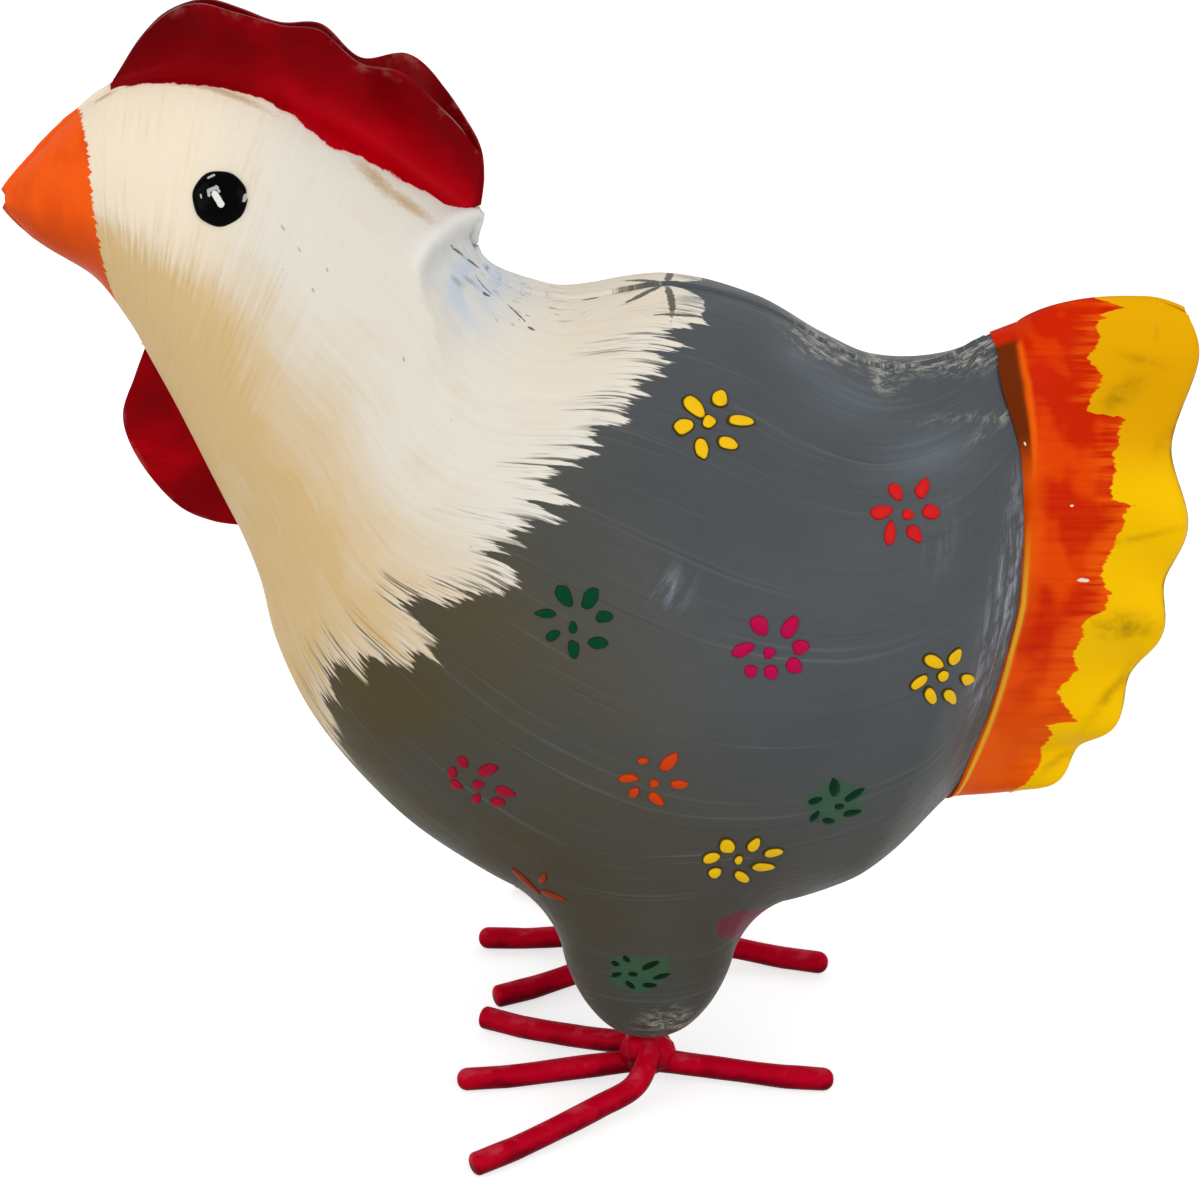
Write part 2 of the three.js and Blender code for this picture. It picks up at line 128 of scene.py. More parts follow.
# The lower edge of the comb's paint on the crown, as places (along, around).
CROWN_EDGE = (
    (0.17, -0.3), (0.181, 0.0), (0.2, 0.2), (0.254, 0.3), (0.316, 0.272), (0.345, 0.33), (0.373, 0.405),
    (0.385, 0.36), (0.396, 0.314), (0.431, 0.279), (0.455, 0.2), (0.468, 0.13), (0.476, 0.0), (0.49, -0.3),
)

# Comb leaf: its free edge (x, z) from front to rear.
COMB_EDGE = (
    (-90.5, 204.9), (-84.7, 213.2), (-79.0, 218.2), (-73.3, 219.9), (-66.1, 218.1), (-58.8, 215.7),
    (-51.5, 215.1), (-44.3, 208.7), (-36.8, 208.2), (-29.6, 202.0), (-25.2, 196.4), (-22.3, 191.2),
    (-21.8, 186.0), (-22.4, 181.4),
)
COMB_FOOT = 6.2  # half the width of the comb's foot on the crown
COMB_REAR = -25.0  # where the foot of a leaf ends, under the overhang of its rear edge
COMB_CHIPS = (  # strokes (x, z) to (x, z) and a width
    (-42.9, 209.0, -41.2, 209.6, 1.3), (-47.6, 212.4, -46.9, 211.6, 0.6),
)
COMB_FLARE = 6.2  # how far the rear lobes of the leaves gape
COMB_FLARE_SPAN = (0.48, 0.86)
COMB_FLUTES = 5.5
COMB_FLUTE_DEPTH = 1.3
COMB_GRID = (140, 36)
COMB_WAIST = 0.22  # share of the leaf's height at which it is drawn in
COMB_SHEET = 0.9  # share of the sheet's thickness in a leaf
CLOSED = -1.3  # outer face of a leaf or a panel where the two sides meet

# Wattle: places of its root along the lower seam, and its free edge (x, z).
WATTLE_SPAN = (0.228, 0.5)
WATTLE_EDGE = ((-90.1, 146.5), (-92.9, 138.2), (-90.2, 128.7), (-82.9, 119.1), (-76.5, 116.0))
WATTLE_TONGUE = 2.5  # how far it reaches into the seam
WATTLE_HALF = 0.5  # half its thickness
WATTLE_WAVE = 0.35  # how uneven it is
WATTLE_GRID = (90, 30)
WATTLE_HELD = 24  # places at which its root is read

# Tail panel: its scalloped rear edge (x, z) from top to bottom, each second point the crest of a flute.
TAIL_EDGE = (
    (113.6, 161.3), (114.4, 151.5), (110.9, 131.8), (115.1, 115.6), (111.8, 102.9), (112.0, 92.6),
    (106.4, 82.6), (104.2, 72.4), (97.2, 66.4), (93.6, 60.2), (84.5, 56.2),
)
TAIL_INSET = 0.1  # how far round the rim the panel starts and ends short of the seams
RIDGE_BACK = (
    (0.0, 5.2), (0.03, 4.6), (0.06, 3.9), (0.1, 4.0), (0.155, 4.2), (0.212, 2.9), (0.268, 1.55), (0.33, 0.5),
    (0.4, 0.0), (1.0, 0.0),
)
RIDGE_STEP = 1.3  # how far the ridge stands out of the body's rim
RIDGE_RISE = 1.8  # how far its top stands above the body
TAIL_ARCH = 3.0  # how far the top edge arches up
TAIL_CORNER = (0.25, 0.16)  # shares of the panel back and down that its upper rear corner is rounded over
CORNER_CUT = 0.26  # how round that corner is: 0 is square and 0.5 a quarter of a circle
FLUTE_DEPTH = 3.0
FLUTES = 5
TAIL_WIDE = 38.0  # length of the panel's face, for the light line on its ridge
TAIL_FOLD = 0.045  # share of the panel over which its top folds to the middle plane
TAIL_ROOT = 0.997  # place along the body of the panel's front edge
TAIL_TUCK = 0.3  # how deep that edge lies under the body's skin
FLANGE = 0.12  # share of the panel that rolls up from the body to the ridge
HEM = 0.04  # share of the panel that rolls in at the rear edge
TAIL_GRID = (100, 200)

# Where the yellow of the tail starts, as places (up, right) in the view's plane.
FLAME_EDGE = (
    (-41.6, 77.0), (-40.0, 81.0), (-38.6, 84.6), (-37.0, 86.2), (-35.2, 87.4), (-32.2, 88.0), (-31.2, 87.6),
    (-29.8, 88.8), (-28.6, 90.4), (-27.2, 89.2), (-26.5, 88.6), (-26.2, 95.2), (-24.8, 93.8), (-22.4, 92.0),
    (-20.0, 90.8), (-16.0, 94.8), (-14.0, 94.6), (-12.0, 94.4), (-8.6, 96.4), (-6.0, 96.2), (-5.0, 98.4),
    (-4.2, 100.4), (-2.6, 100.8), (-1.2, 101.0), (-0.6, 102.6), (0.0, 100.6), (3.0, 99.6), (5.4, 100.2),
    (7.8, 101.8), (11.0, 103.2), (12.6, 104.4), (15.0, 104.4), (16.4, 105.0), (17.0, 106.8), (17.4, 104.8),
    (17.8, 102.2), (19.0, 101.6), (23.0, 102.4), (27.0, 102.0), (28.6, 103.2), (33.4, 103.6), (34.2, 104.8),
    (34.6, 106.0), (35.0, 100.8), (35.4, 96.4), (36.6, 97.6), (38.2, 97.4), (39.8, 98.8), (42.2, 100.2),
    (43.8, 99.6), (46.4, 96.8), (48.6, 99.2), (50.6, 99.8), (51.8, 99.0), (53.4, 99.2), (53.8, 101.6),
    (54.4, 99.6), (55.2, 101.6), (55.9, 104.6), (56.6, 102.6), (57.4, 98.0), (58.4, 95.0),
)

# Chips on the orange of the tail, as strokes in the view's plane and a width.
TAIL_CHIPS = ((95.2, 2.0, 96.7, 1.9, 0.8), (93.7, 16.9, 94.0, 16.9, 0.5), (85.0, 29.4, 85.2, 28.9, 0.4))

# Painted shade and dirt in the folds across the yellow of the tail: centre (right, up), reach along and
# across, degrees and strength.
TAIL_FOLD_SHADES = (
    (104.0, 39.2, 5.0, 1.9, 38, 0.8), (108.4, 11.0, 9.0, 0.6, 12, 0.55), (104.4, -7.2, 6.0, 2.4, -5, 0.95),
    (101.6, -20.6, 7.5, 1.1, 52, 0.7), (108.2, 46.0, 4.5, 0.9, -14, 0.45), (111.0, 51.0, 0.5, 1.2, 0, 0.6),
    (92.0, -33.5, 6.0, 1.0, 35, 0.5), (112.0, 30.0, 4.0, 1.2, 60, 0.35),
)

# Legs: the place of the left one, how slim it is across, and its profile as (reach, height over its tip).
LEG_X = 9.8
LEG_Y = 25.0
LEG_SLIM = 0.84
LEG_PROFILE = ((0.0, 0.0), (7.6, 1.9), (12.6, 7.4), (16.4, 15.6), (17.8, 22.4), (18.2, 30.0), (18.4, 70.0))
LEG_FILLET = 12.0  # how far the cup runs out onto the belly
LEG_GRID = (120, 60)
LEG_STEPS = 400  # places at which the profile is read, of which the first LEG_CUP lie on the cup's bottom
LEG_CUP = 60
LEG_STRAIGHT = 0.62  # share of the rows below the fillet
LEG_SINK = 0.15  # how deep the fillet's edge lies under the skin
LEG_SHEET = 0.5  # share of the sheet's thickness in a cup
BARE = 60.0  # distance from every edge of the head's paint
LEG_LINES = 190.0  # where the brush lines of a cup start

# Feet: heights of the rods' middles at the tips, under the leg and where the cross rod bridges the long one.
ROD_RADIUS = 2.4
ROD_LOW = 2.1
ROD_HUB = 5.6
BRIDGE_HUB = 10.7
LEG_TIP = BRIDGE_HUB + ROD_RADIUS + 0.3
ARCH_RISE = ROD_HUB - ROD_LOW
TOE_LIFT = ((0.3, 0.65), (0.75, 0.12), (1.0, 0.0))  # share of a toe's length and of the rise that is left
BRIDGE_DROP = 1.44  # how far the bridge has fallen half way to the elbow
ELBOW_RISE = 0.48  # how far the elbow lies above the hub of the long rod
ROD_UNEVEN = 0.05  # share by which the thickness of a rod varies
FLOOR_GAP = 0.02  # smallest gap between a rod and the floor
FOOT_WELD = (5.6, 5.0, 4.9)  # half sizes of the weld lump
WELD_UNEVEN = 0.16  # share by which its size varies
WELD_TOP = LEG_TIP + 0.6  # where the leg cuts it off
ROD_STEPS = 120
ROD_SIDES = 24
TOE_LEAN = 2.2  # how far the ends of a long rod bend towards the left
MIDDLE_TOE = 37.0
REAR_TOE = 36.0
SIDE_TOE = 34.0
OUTER_SPREAD = 31.5
INNER_SPREAD = 20.8
OUTER_ELBOW = 8.0
INNER_ELBOW = 4.8
RIGHT_FOOT_TURN = 8.0
RIGHT_FOOT_BACK = 2.5
RIGHT_OUTER_SHARE = 0.9  # how much of its length the outer toe of the right foot has

# Eyes: place along and round the skin, radius, height of the dome and how deep its rim is sunk.
EYE_PLACE = (0.303, 1.09)
EYE_RADIUS = 5.05
EYE_RISE = 1.7
EYE_SUNK = 0.35
EYE_GRID = (64, 20)

# Seam welds: how deep a bead is sunk, as a share of its radius, and its lumps as (size, place in the noise,
# share).
BEAD_SUNK = 0.62
BEAD_LUMPS = ((2.2, 31.0, 0.16), (7.0, 5.0, 0.12))
BEAD_SIDES = 14
TUBE_ROUNDS = 6  # rings in the rounded end of a bar

# The view that the flowers, washes and scuffs are placed in: right and up from the point that the camera aims
# at, in a plane through that point.
VIEW_TILT = math.radians(25.0)
VIEW_DISTANCE = 610.0
VIEW_HEIGHT = 101.0

# Flowers on a side: centre (right, up), colour, and dabs as (right, up, degrees, length, width) from there.
FLOWERS = (
    (21.8, 33.3, "yellow", (
        (-2.9, 2.9, -45, 5.4, 2.7), (2.1, 4.7, 80, 3.4, 3.0), (6.4, 0.2, -6, 5.2, 2.1),
        (3.8, -4.3, -20, 4.0, 2.3), (-1.5, -5.4, -80, 4.1, 2.6), (-5.0, -0.9, 15, 4.0, 2.8),
        (0.0, 0.0, 0, 2.6, 2.5))),
    (61.6, 14.8, "red", (
        (-2.4, 4.4, -55, 4.0, 2.6), (2.9, 5.3, 65, 4.4, 2.7), (-5.3, 0.5, 15, 4.6, 2.9),
        (4.6, 0.5, -15, 3.9, 3.2), (-3.6, -3.7, 85, 5.0, 2.2), (1.3, -3.9, -50, 4.2, 2.7),
        (0.0, 0.0, 0, 2.4, 2.3))),
    (-5.4, -7.8, "green", (
        (-1.7, 6.3, -60, 5.1, 3.0), (3.5, 5.9, 60, 4.9, 3.0), (6.4, 2.1, 0, 3.6, 2.4),
        (5.1, -3.1, 0, 4.2, 2.4), (0.1, -4.5, -85, 3.9, 2.3), (-4.0, -1.6, 35, 3.2, 2.0),
        (-5.4, 2.8, 180, 4.3, 1.8), (0.0, 0.0, 90, 2.6, 1.7))),
    (33.9, -12.9, "pink", (
        (-1.9, 5.4, -60, 4.5, 3.6), (4.1, 5.1, 60, 5.3, 3.1), (-5.2, 0.7, 25, 4.9, 2.6),
        (6.3, 1.2, 20, 3.6, 3.1), (5.0, -2.6, -40, 3.6, 3.3), (0.3, -3.9, -90, 3.1, 2.9),
        (-3.7, -3.6, 40, 2.8, 2.6), (0.0, 0.0, 0, 2.5, 2.4))),
    (68.4, -17.8, "yellow", (
        (-1.7, 3.2, -25, 4.2, 2.4), (2.5, 4.2, 58, 3.7, 2.1), (5.0, -0.3, 0, 2.5, 2.2),
        (1.5, -3.8, -55, 3.3, 2.2), (-2.4, -3.6, -65, 3.3, 2.2), (-4.6, -0.8, 38, 4.1, 1.8),
        (0.1, 0.4, 50, 2.4, 1.9))),
    (-24.4, -39.2, "crimson", (
        (-3.0, 4.4, -60, 2.8, 2.0), (2.0, 2.9, 20, 4.2, 2.5), (-5.1, 2.4, 70, 2.5, 2.0),
        (-4.3, 0.0, -30, 2.8, 1.7), (5.5, -1.5, -20, 4.4, 2.1), (-0.3, -2.7, 60, 2.3, 1.8),
        (4.0, -3.5, 0, 3.1, 1.9), (0.0, 0.0, 0, 2.5, 1.9))),
    (10.9, -38.9, "orange", (
        (3.0, 4.3, 45, 4.8, 2.6), (-2.3, 4.5, 10, 2.4, 1.5), (-5.2, 1.0, 0, 4.2, 1.8),
        (5.0, -0.2, 0, 3.9, 1.9), (-4.1, -1.8, 40, 2.6, 1.9), (0.3, -3.1, -40, 3.9, 2.1),
        (0.0, 0.0, 0, 2.1, 1.8))),
    (47.2, -42.8, "pine", (
        (-0.3, 3.1, 90, 3.7, 2.0), (3.8, 1.6, 33, 4.6, 1.4), (3.2, -2.1, 12, 3.7, 1.3),
        (-1.5, -3.7, -8, 2.4, 1.2), (-4.2, -2.7, 48, 2.7, 1.2), (-4.1, 0.4, 20, 3.0, 1.2),
        (0.7, -0.8, 10, 1.9, 1.1))),
    (27.7, -54.1, "yellow", (
        (-2.2, 2.7, -20, 3.1, 2.7), (3.1, 3.0, 50, 3.1, 2.0), (7.0, 1.5, 10, 3.9, 1.6),
        (4.9, -1.4, 3, 4.4, 1.6), (0.6, -3.4, -30, 3.2, 1.9), (-4.7, -2.6, 25, 2.6, 2.0),
        (-5.4, 0.4, 15, 3.5, 1.9), (0.0, 0.0, 50, 1.9, 1.5))),
    (-12.0, -59.2, "rust", (
        (-2.9, 0.9, -43, 8.0, 0.95), (2.8, -2.2, -21, 5.8, 1.05), (0.6, 1.3, 70, 2.3, 1.7))),
    (8.0, -76.6, "bottle", (
        (-2.7, 2.5, -35, 1.7, 0.8), (-4.9, 1.6, -22, 1.7, 0.8), (2.1, 1.3, 24, 3.9, 1.1),
        (-4.7, -0.6, 13, 2.1, 0.8), (-1.4, -0.5, -5, 1.9, 0.8), (4.3, -0.9, 17, 3.3, 0.85),
        (-1.9, -2.7, -35, 2.2, 0.95), (1.9, -2.7, -2, 3.0, 0.85))),
)

# The dark outline is dark paint and partly a painted shadow round the dab.
OUTLINED = 1.2  # how much larger a yellow dab is with its dark outline
DAB_SEGMENTS = (20, 12)
DAB_UNEVEN = 0.16  # share by which the outline of a dab varies
DAB_TAPER = 0.2  # share by which a dab is narrower at its outer end

# Thin washes of paint on the skin: centre (right, up), reach right and up, and colour.
WASHES = (
    (5.0, -76.5, 2.9, 3.2, "wash_green"), (11.0, -76.2, 3.2, 2.5, "wash_green"),
    (8.3, -79.2, 2.2, 2.0, "wash_green"), (27.4, -67.6, 4.2, 2.5, "wash_pink"),
    (31.4, -65.7, 4.0, 1.5, "wash_pink"), (47.4, -42.8, 5.4, 4.0, "wash_green"),
)

# Scuffs and painted highlights on the grey paint: centre (right, up), reach along and across, degrees and
# strength. The first table is brushed streaks down the skin, partly a painted highlight, the second pale
# scratches, partly a painted highlight on the back, and the third a soft sheen, a painted highlight.
STREAKS_AND_HIGHLIGHTS = (
    (83.2, 10.0, 14.0, 2.6, 82, 0.9), (80.2, -6.0, 14.0, 2.8, 76, 1.0), (76.0, -19.5, 5.0, 1.6, 70, 0.9),
    (68.0, 10.0, 10.0, 4.0, 80, 0.15), (14.6, 0.0, 3.4, 3.0, 60, 0.7), (72.0, -40.0, 12.0, 3.0, 70, 0.35),
)
SCRATCHES_AND_HIGHLIGHTS = (
    (41.5, 50.0, 5.0, 2.0, -35, 0.9), (50.0, 46.5, 8.0, 2.0, -8, 0.9), (57.0, 43.0, 3.0, 4.0, 0, 0.9),
    (66.0, 45.2, 7.0, 2.2, 6, 1.0), (77.0, 48.0, 7.0, 3.0, 20, 1.6), (80.0, 34.0, 7.0, 1.4, 40, 0.6),
    (13.0, -86.6, 4.5, 2.2, 8, 1.3), (92.0, -36.0, 4.0, 1.2, 60, 0.4), (72.0, 34.0, 9.0, 1.0, 4, 0.4),
)
SHEEN_HIGHLIGHTS = ((66.0, 27.0, 9.0, 5.0, 10, 0.8), (50.0, 38.0, 9.0, 5.0, -20, 0.6), (40.0, 46.0, 6.0, 3.0, -30, 0.5))

# Small marks on the white, as strokes from one place to another (along and round the skin) and a width:
# cracks at the nape, weld marks on the back, grey smudges, brown stains and specks.
CRACKS = (
    (123.3, 16.0, 127.8, 13.5, 0.8), (130.3, 11.6, 135.0, 6.5, 0.8), (138.2, 14.2, 139.2, 13.4, 1.1),
    (134.7, 11.6, 140.3, 11.8, 0.6), (144.4, 12.3, 150.0, 15.7, 0.6), (151.2, 17.0, 152.6, 17.2, 0.8),
    (160.0, 1.5, 161.6, 1.2, 0.9),
)
TACKS = (
    (163.0, 0.6, 170.2, 0.3, 1.2), (170.6, 0.4, 172.5, 13.2, 1.2), (165.8, 6.6, 169.8, 0.8, 1.3),
    (170.0, 12.9, 176.7, 11.9, 0.8),
)
SMUDGES = (
    (127.6, 23.2, 132.0, 20.6, 2.4), (131.0, 18.0, 136.0, 14.6, 1.8), (124.0, 15.0, 130.0, 12.0, 1.6),
    (173.2, 6.8, 176.0, 6.2, 4.4),
)
STAINS = (
    (100.0, 17.5, 107.2, 19.6, 6.0), (106.0, 19.4, 115.0, 18.4, 5.0), (40.0, 10.2, 45.5, 10.0, 5.0),
    (62.0, 12.0, 80.0, 17.0, 4.0),
)
SPECKS = (
    (90.0, 46.3, 90.7, 46.7, 0.6), (95.0, 48.2, 95.5, 48.6, 0.5), (101.0, 53.5, 101.6, 53.8, 0.5),
    (102.0, 47.6, 102.4, 48.0, 0.5), (154.2, 7.0, 155.4, 6.8, 0.9), (147.0, 18.2, 147.7, 18.4, 0.5),
    (149.5, 13.4, 150.2, 13.2, 0.6), (143.0, 19.5, 143.5, 19.9, 0.5), (156.0, 9.4, 156.6, 9.4, 0.5),
)
# White marks in the eye, partly its own white paint and partly painted glints, in millimetres right and up
# from its middle.
EYE_PILL = ((-0.72, 0.72, 0.42, -1.1, 1.2),)
EYE_FLECKS_AND_GLINTS = (
    (-1.75, 0.5, -1.85, 1.35, 0.55), (-1.85, 1.35, -0.3, 1.9, 0.65), (-0.45, 2.1, 0.1, 1.2, 0.45),
    (-3.3, 0.6, -3.25, 0.1, 0.3), (-1.9, 3.6, -0.9, 4.2, 0.4), (4.5, -0.4, 4.9, 0.6, 0.6),
)

# The stage: lamps as (name, place, size) in metres, the point they shine at, and the floor.
LAMPS = (
    ("Key", (0.85, -0.95, 0.75), 0.9), ("Fill", (-0.85, -0.8, 0.55), 0.9), ("Back", (0.3, 0.8, 0.9), 0.7),
)
LIT_POINT = (0.0, 0.0, 0.1)
FLOOR_HALF = 4.0
FLOOR_TONE = (0.65, 0.65, 0.65, 1.0)
WHITE = (1.0, 1.0, 1.0, 1.0)

SIDES = {"left": -1.0, "right": 1.0}  # the hen's sides and the sign of y there


def spline(points, share):
    """Points of the centripetal curve through the given points, at shares 0 to 1 of its spans."""
    points = np.asarray(points, float)
    span = (len(points) - 1) * np.clip(np.asarray(share, float), 0.0, 1.0)
    first = np.minimum(span.astype(int), len(points) - 2)
    within = (span - first)[..., None]
    ends = (2 * points[0] - points[1], 2 * points[-1] - points[-2])
    padded = np.vstack([ends[0], points, ends[1]])
    a, b, c, d = (padded[first + k] for k in range(4))

    def step(p, q):
        return np.maximum(np.square(p - q).sum(-1) ** 0.25, 1e-4)[..., None]

    ab, bc, cd = step(a, b), step(b, c), step(c, d)
    leave = ((b - a) / ab - (c - a) / (ab + bc) + (c - b) / bc) * bc
    arrive = ((c - b) / bc - (d - b) / (bc + cd) + (d - c) / cd) * bc
    square = -3 * b + 3 * c - 2 * leave - arrive
    cube = 2 * b - 2 * c + leave + arrive
    return b + leave * within + square * within**2 + cube * within**3


def ease(value, low, high):
    """0 below low, 1 above high and a smooth step between them."""
    share = np.clip((np.asarray(value, float) - low) / (high - low), 0.0, 1.0)
    return share * share * (3 - 2 * share)


def across(table, value):
    """The second column of a table read at values of its first column."""
    columns = np.array(table)
    return np.interp(value, columns[:, 0], columns[:, 1])


STATION_ROWS = np.array(STATIONS)


def smooth_skin(along, around):
    """Points of the left half's skin: along from beak to tail, around from the upper seam to the lower."""
    along, around = np.broadcast_arrays(np.asarray(along, float), np.asarray(around, float))
    top = spline(STATION_ROWS[:, 0:2], along)
    low = spline(STATION_ROWS[:, 2:4], along)
    girth = spline(np.c_[STATION_ROWS[:, 4:6], np.zeros(len(STATION_ROWS))], along)
    plane = low + (top - low) * (0.5 + 0.5 * np.cos(around))[..., None]
    power = 1 + (girth[..., 1] - 1) * ease(around, math.pi / 2, math.pi)
    swell = np.maximum(np.sin(around), 0.0)
    x = plane[..., 0] + TAIL_BOW * np.sin(around) * ease(along, BOW_FROM, 1) + SHIFT
    trim = RIM_TRIM * np.maximum(-np.sin(2 * around), 0.0)
    trim = trim + RIM_DRAW * np.exp(-(((around - RIM_DRAW_AT) / RIM_DRAW_REACH) ** 2))
    x = x - trim * ease(along, BOW_FROM, 1)
    y = -SKIN_RIM - (girth[..., 0] - SKIN_RIM) * swell**power
    return np.stack([x, y, plane[..., 1]], -1)


def skin_out(along, around):
    """Outward directions of the skin."""
    nudge = 2e-3
    ahead = smooth_skin(np.minimum(along + nudge, 1), around)
    length = ahead - smooth_skin(np.maximum(along - nudge, 0), around)
    inner = np.clip(around, 2 * nudge, math.pi - 2 * nudge)
    girth = smooth_skin(along, inner + nudge) - smooth_skin(along, inner - nudge)
    out = np.cross(girth, length)
    return out / np.maximum(np.linalg.norm(out, axis=-1, keepdims=True), 1e-9)


def lumps(points, size, seed):
    """Smooth noise from -1 to 1 at points, with lumps of a size in millimetres."""
    flat = np.asarray(points, float).reshape(-1, 3) / size + seed
    values = np.array([noise.noise(Vector(p)) for p in flat])
    return values.reshape(np.shape(points)[:-1])


def crease_step(along, around):
    """Millimetres behind the nape's crease."""
    return (along - across(NAPE_CREASE, around)) * ALONG_MM


def relief(along, around):
    """How far the skin stands out of its smooth shape: the fold at the nape and the marks of the hammer."""
    sizes = bpy.context.scene.hen_sizes
    behind = crease_step(along, around)
    lip = np.exp(-(((behind - LIP_PLACE) / LIP_WIDTH) ** 2))
    dip = ease(behind, *HOLLOW_STARTS) * (1 - ease(behind, *HOLLOW_ENDS))
    nape = ((LIP_HEIGHT - LIP_FALL * ease(around, 0.0, 0.3)) * lip - dip) * (1 - ease(around, *FOLD_FADES))
    points = smooth_skin(along, around)
    beaten = sum(share * lumps(points, size, seed) for size, seed, share in HAMMER_MARKS)
    beaten = beaten * np.sin(around) ** 0.5 * ease(along, 0.0, 0.1)
    return (sizes.crease_depth * nape + sizes.beaten_depth * beaten) / MM


def skin(along, around, lift=0.0):
    """The skin with its relief, lifted further out where asked."""
    out = skin_out(along, around)
    return smooth_skin(along, around) + out * (relief(along, around) + lift)[..., None]


def mirrored(points, side):
    """Points of the left half as they are, or mirrored for the right half."""
    return points * np.array([1.0, -side, 1.0])


def view_axes():
    """The camera's place and its directions right, up and forward, in millimetres."""
    forward = np.array([0.0, math.cos(VIEW_TILT), -math.sin(VIEW_TILT)])
    up = np.array([0.0, math.sin(VIEW_TILT), math.cos(VIEW_TILT)])
    aim = np.array([SHIFT, 0.0, VIEW_HEIGHT])
    return aim - forward * VIEW_DISTANCE, np.array([1.0, 0.0, 0.0]), up, forward


def seen(points):
    """Where points appear in the view's plane, right and up from its middle."""
    eye, right, up, forward = view_axes()
    sight = points - eye
    scale = VIEW_DISTANCE / (sight @ forward)
    return (sight @ right) * scale, (sight @ up) * scale


def flow_fields(along, around, points):
    """What the paint reads on the skin: brush lines and signed distances to paint edges, in millimetres."""
    feather = (along - across(FEATHER_EDGE, around)) * ALONG_MM
    x, y, wide, tall, push = FEATHER_PATCH
    patch = ((along * ALONG_MM - x) / wide) ** 4 + ((around * AROUND_MM - y) / tall) ** 4
    feather = feather - push * np.exp(-patch)
    turned = around * AROUND_MM + across(STROKE_TURN, around) * np.clip(feather, -45.0, 30.0)
    behind = crease_step(along, around)
    spot = np.stack([along * ALONG_MM, around * AROUND_MM, 0 * along], -1)
    return {
        "flow": np.stack([along * ALONG_MM, turned, 0 * along], -1),
        "spot": spot,
        "feather": feather,
        "ragged": 0.2 + 0.8 * ease(around, 0.16, 0.42),
        "beak": (across(BEAK_EDGE, around) - along) * ALONG_MM,
        "crown": (across(CROWN_EDGE, along) - around) * CROWN_MM,
        # The nape field places a bluish painted reflection behind the nape.
        "nape": np.exp(-(((behind - 12.0) / 10.0) ** 2)) * (1 - ease(around, 0.5, 0.85)),
        # The lip field places a painted highlight along the lip of the nape fold.
        "lip": np.exp(-(((behind + 1.0) / 1.3) ** 2)) * (1 - ease(around, 0.6, 0.9)),
        "hollow": np.exp(-(((behind - 2.6) / 2.2) ** 2)) * (1 - ease(around, 0.55, 0.85)),
        "crack": np.exp(-(((along - 0.59) / 0.07) ** 2)) * (1 - ease(around, 0.12, 0.45)),
        **patch_fields(points),
    }


def blots(x, y, table):
    """Soft spots at places in the view's plane, each turned and with its own strength, from 0 to 1."""
    total = 0 * x
    for right, up, long, wide, degrees, strength in table:
        c, s = math.cos(math.radians(degrees)), math.sin(math.radians(degrees))
        run = ((x - right) * c + (y - up) * s) / long
        side = ((y - up) * c - (x - right) * s) / wide
        total = total + strength * np.exp(-(run**2) - side**2)
    return np.minimum(total, 1.0)


def patch_fields(points):
    """Scuffs, painted highlights and washes at points, each from 0 to 1."""
    x, y = seen(points)
    fields = {"streak": blots(x, y, STREAKS_AND_HIGHLIGHTS), "scratch_and_highlight": blots(x, y, SCRATCHES_AND_HIGHLIGHTS), "sheen_highlight": blots(x, y, SHEEN_HIGHLIGHTS)}
    for colour in ("wash_green", "wash_pink"):
        fields[colour] = 0 * x
    for right, up, wide, tall, colour in WASHES:
        reach = ((x - right) / wide) ** 2 + ((y - up) / tall) ** 2
        fields[colour] = np.maximum(fields[colour], np.exp(-(reach**2)))
    return fields


def grid_mesh(columns, rows, place, flip=False):
    """A grid of shares (across, up), each corner set by place; returns the bmesh and its corners' shares."""
    made = bmesh.new()
    bmesh.ops.create_grid(made, x_segments=columns, y_segments=rows, size=0.5)
    made.verts.ensure_lookup_table()
    shares = np.array([(v.co.x + 0.5, v.co.y + 0.5) for v in made.verts])
    for vertex, point in zip(made.verts, place(shares[:, 0], shares[:, 1])):
        vertex.co = Vector(point) * MM
    if flip:
        bmesh.ops.reverse_faces(made, faces=made.faces)
    return made, shares


def set_fields(mesh, fields):
    """Stores arrays on the corners of a mesh as attributes."""
    for name, values in fields.items():
        kind = "FLOAT_VECTOR" if values.ndim == 2 else "FLOAT"
        attribute = mesh.attributes.new(name, kind, "POINT")
        key = "vector" if values.ndim == 2 else "value"
        attribute.data.foreach_set(key, np.ascontiguousarray(values, np.float32).ravel())


def finish_piece(name, mesh_source, material, nodes, fields=None, weld=0.0):
    """Turns a bmesh into a piece that rides on the frame, stands for nodes and takes a material."""
    mesh = bpy.data.meshes.new(name)
    mesh_source.to_mesh(mesh)
    mesh_source.free()
    if fields:
        set_fields(mesh, fields)
    if weld:
        joined = bmesh.new()
        joined.from_mesh(mesh)
        bmesh.ops.remove_doubles(joined, verts=joined.verts, dist=weld * MM)
        joined.to_mesh(mesh)
        joined.free()
    mesh.polygons.foreach_set("use_smooth", [True] * len(mesh.polygons))
    mesh.materials.append(material)
    piece = bpy.data.objects.new(name, mesh)
    bpy.context.scene.collection.objects.link(piece)
    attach(piece, "root")
    if nodes:
        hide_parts(*nodes)
    return piece


def wall(piece, thickness, bevel=0.0):
    """Gives a sheet its thickness inwards and rounds the cut edges."""
    solid = piece.modifiers.new("Sheet", "SOLIDIFY")
    solid.thickness = thickness
    solid.offset = -1.0
    if bevel:
        edge = piece.modifiers.new("Cut edge", "BEVEL")
        edge.width = bevel
        edge.segments = 2
        edge.limit_method = "ANGLE"
    return piece


def linear(colour):
    """A display colour as the shader's linear light."""
    values = [c / 12.92 if c <= 0.04045 else ((c + 0.055) / 1.055) ** 2.4 for c in colour]
    return (*values, 1.0)


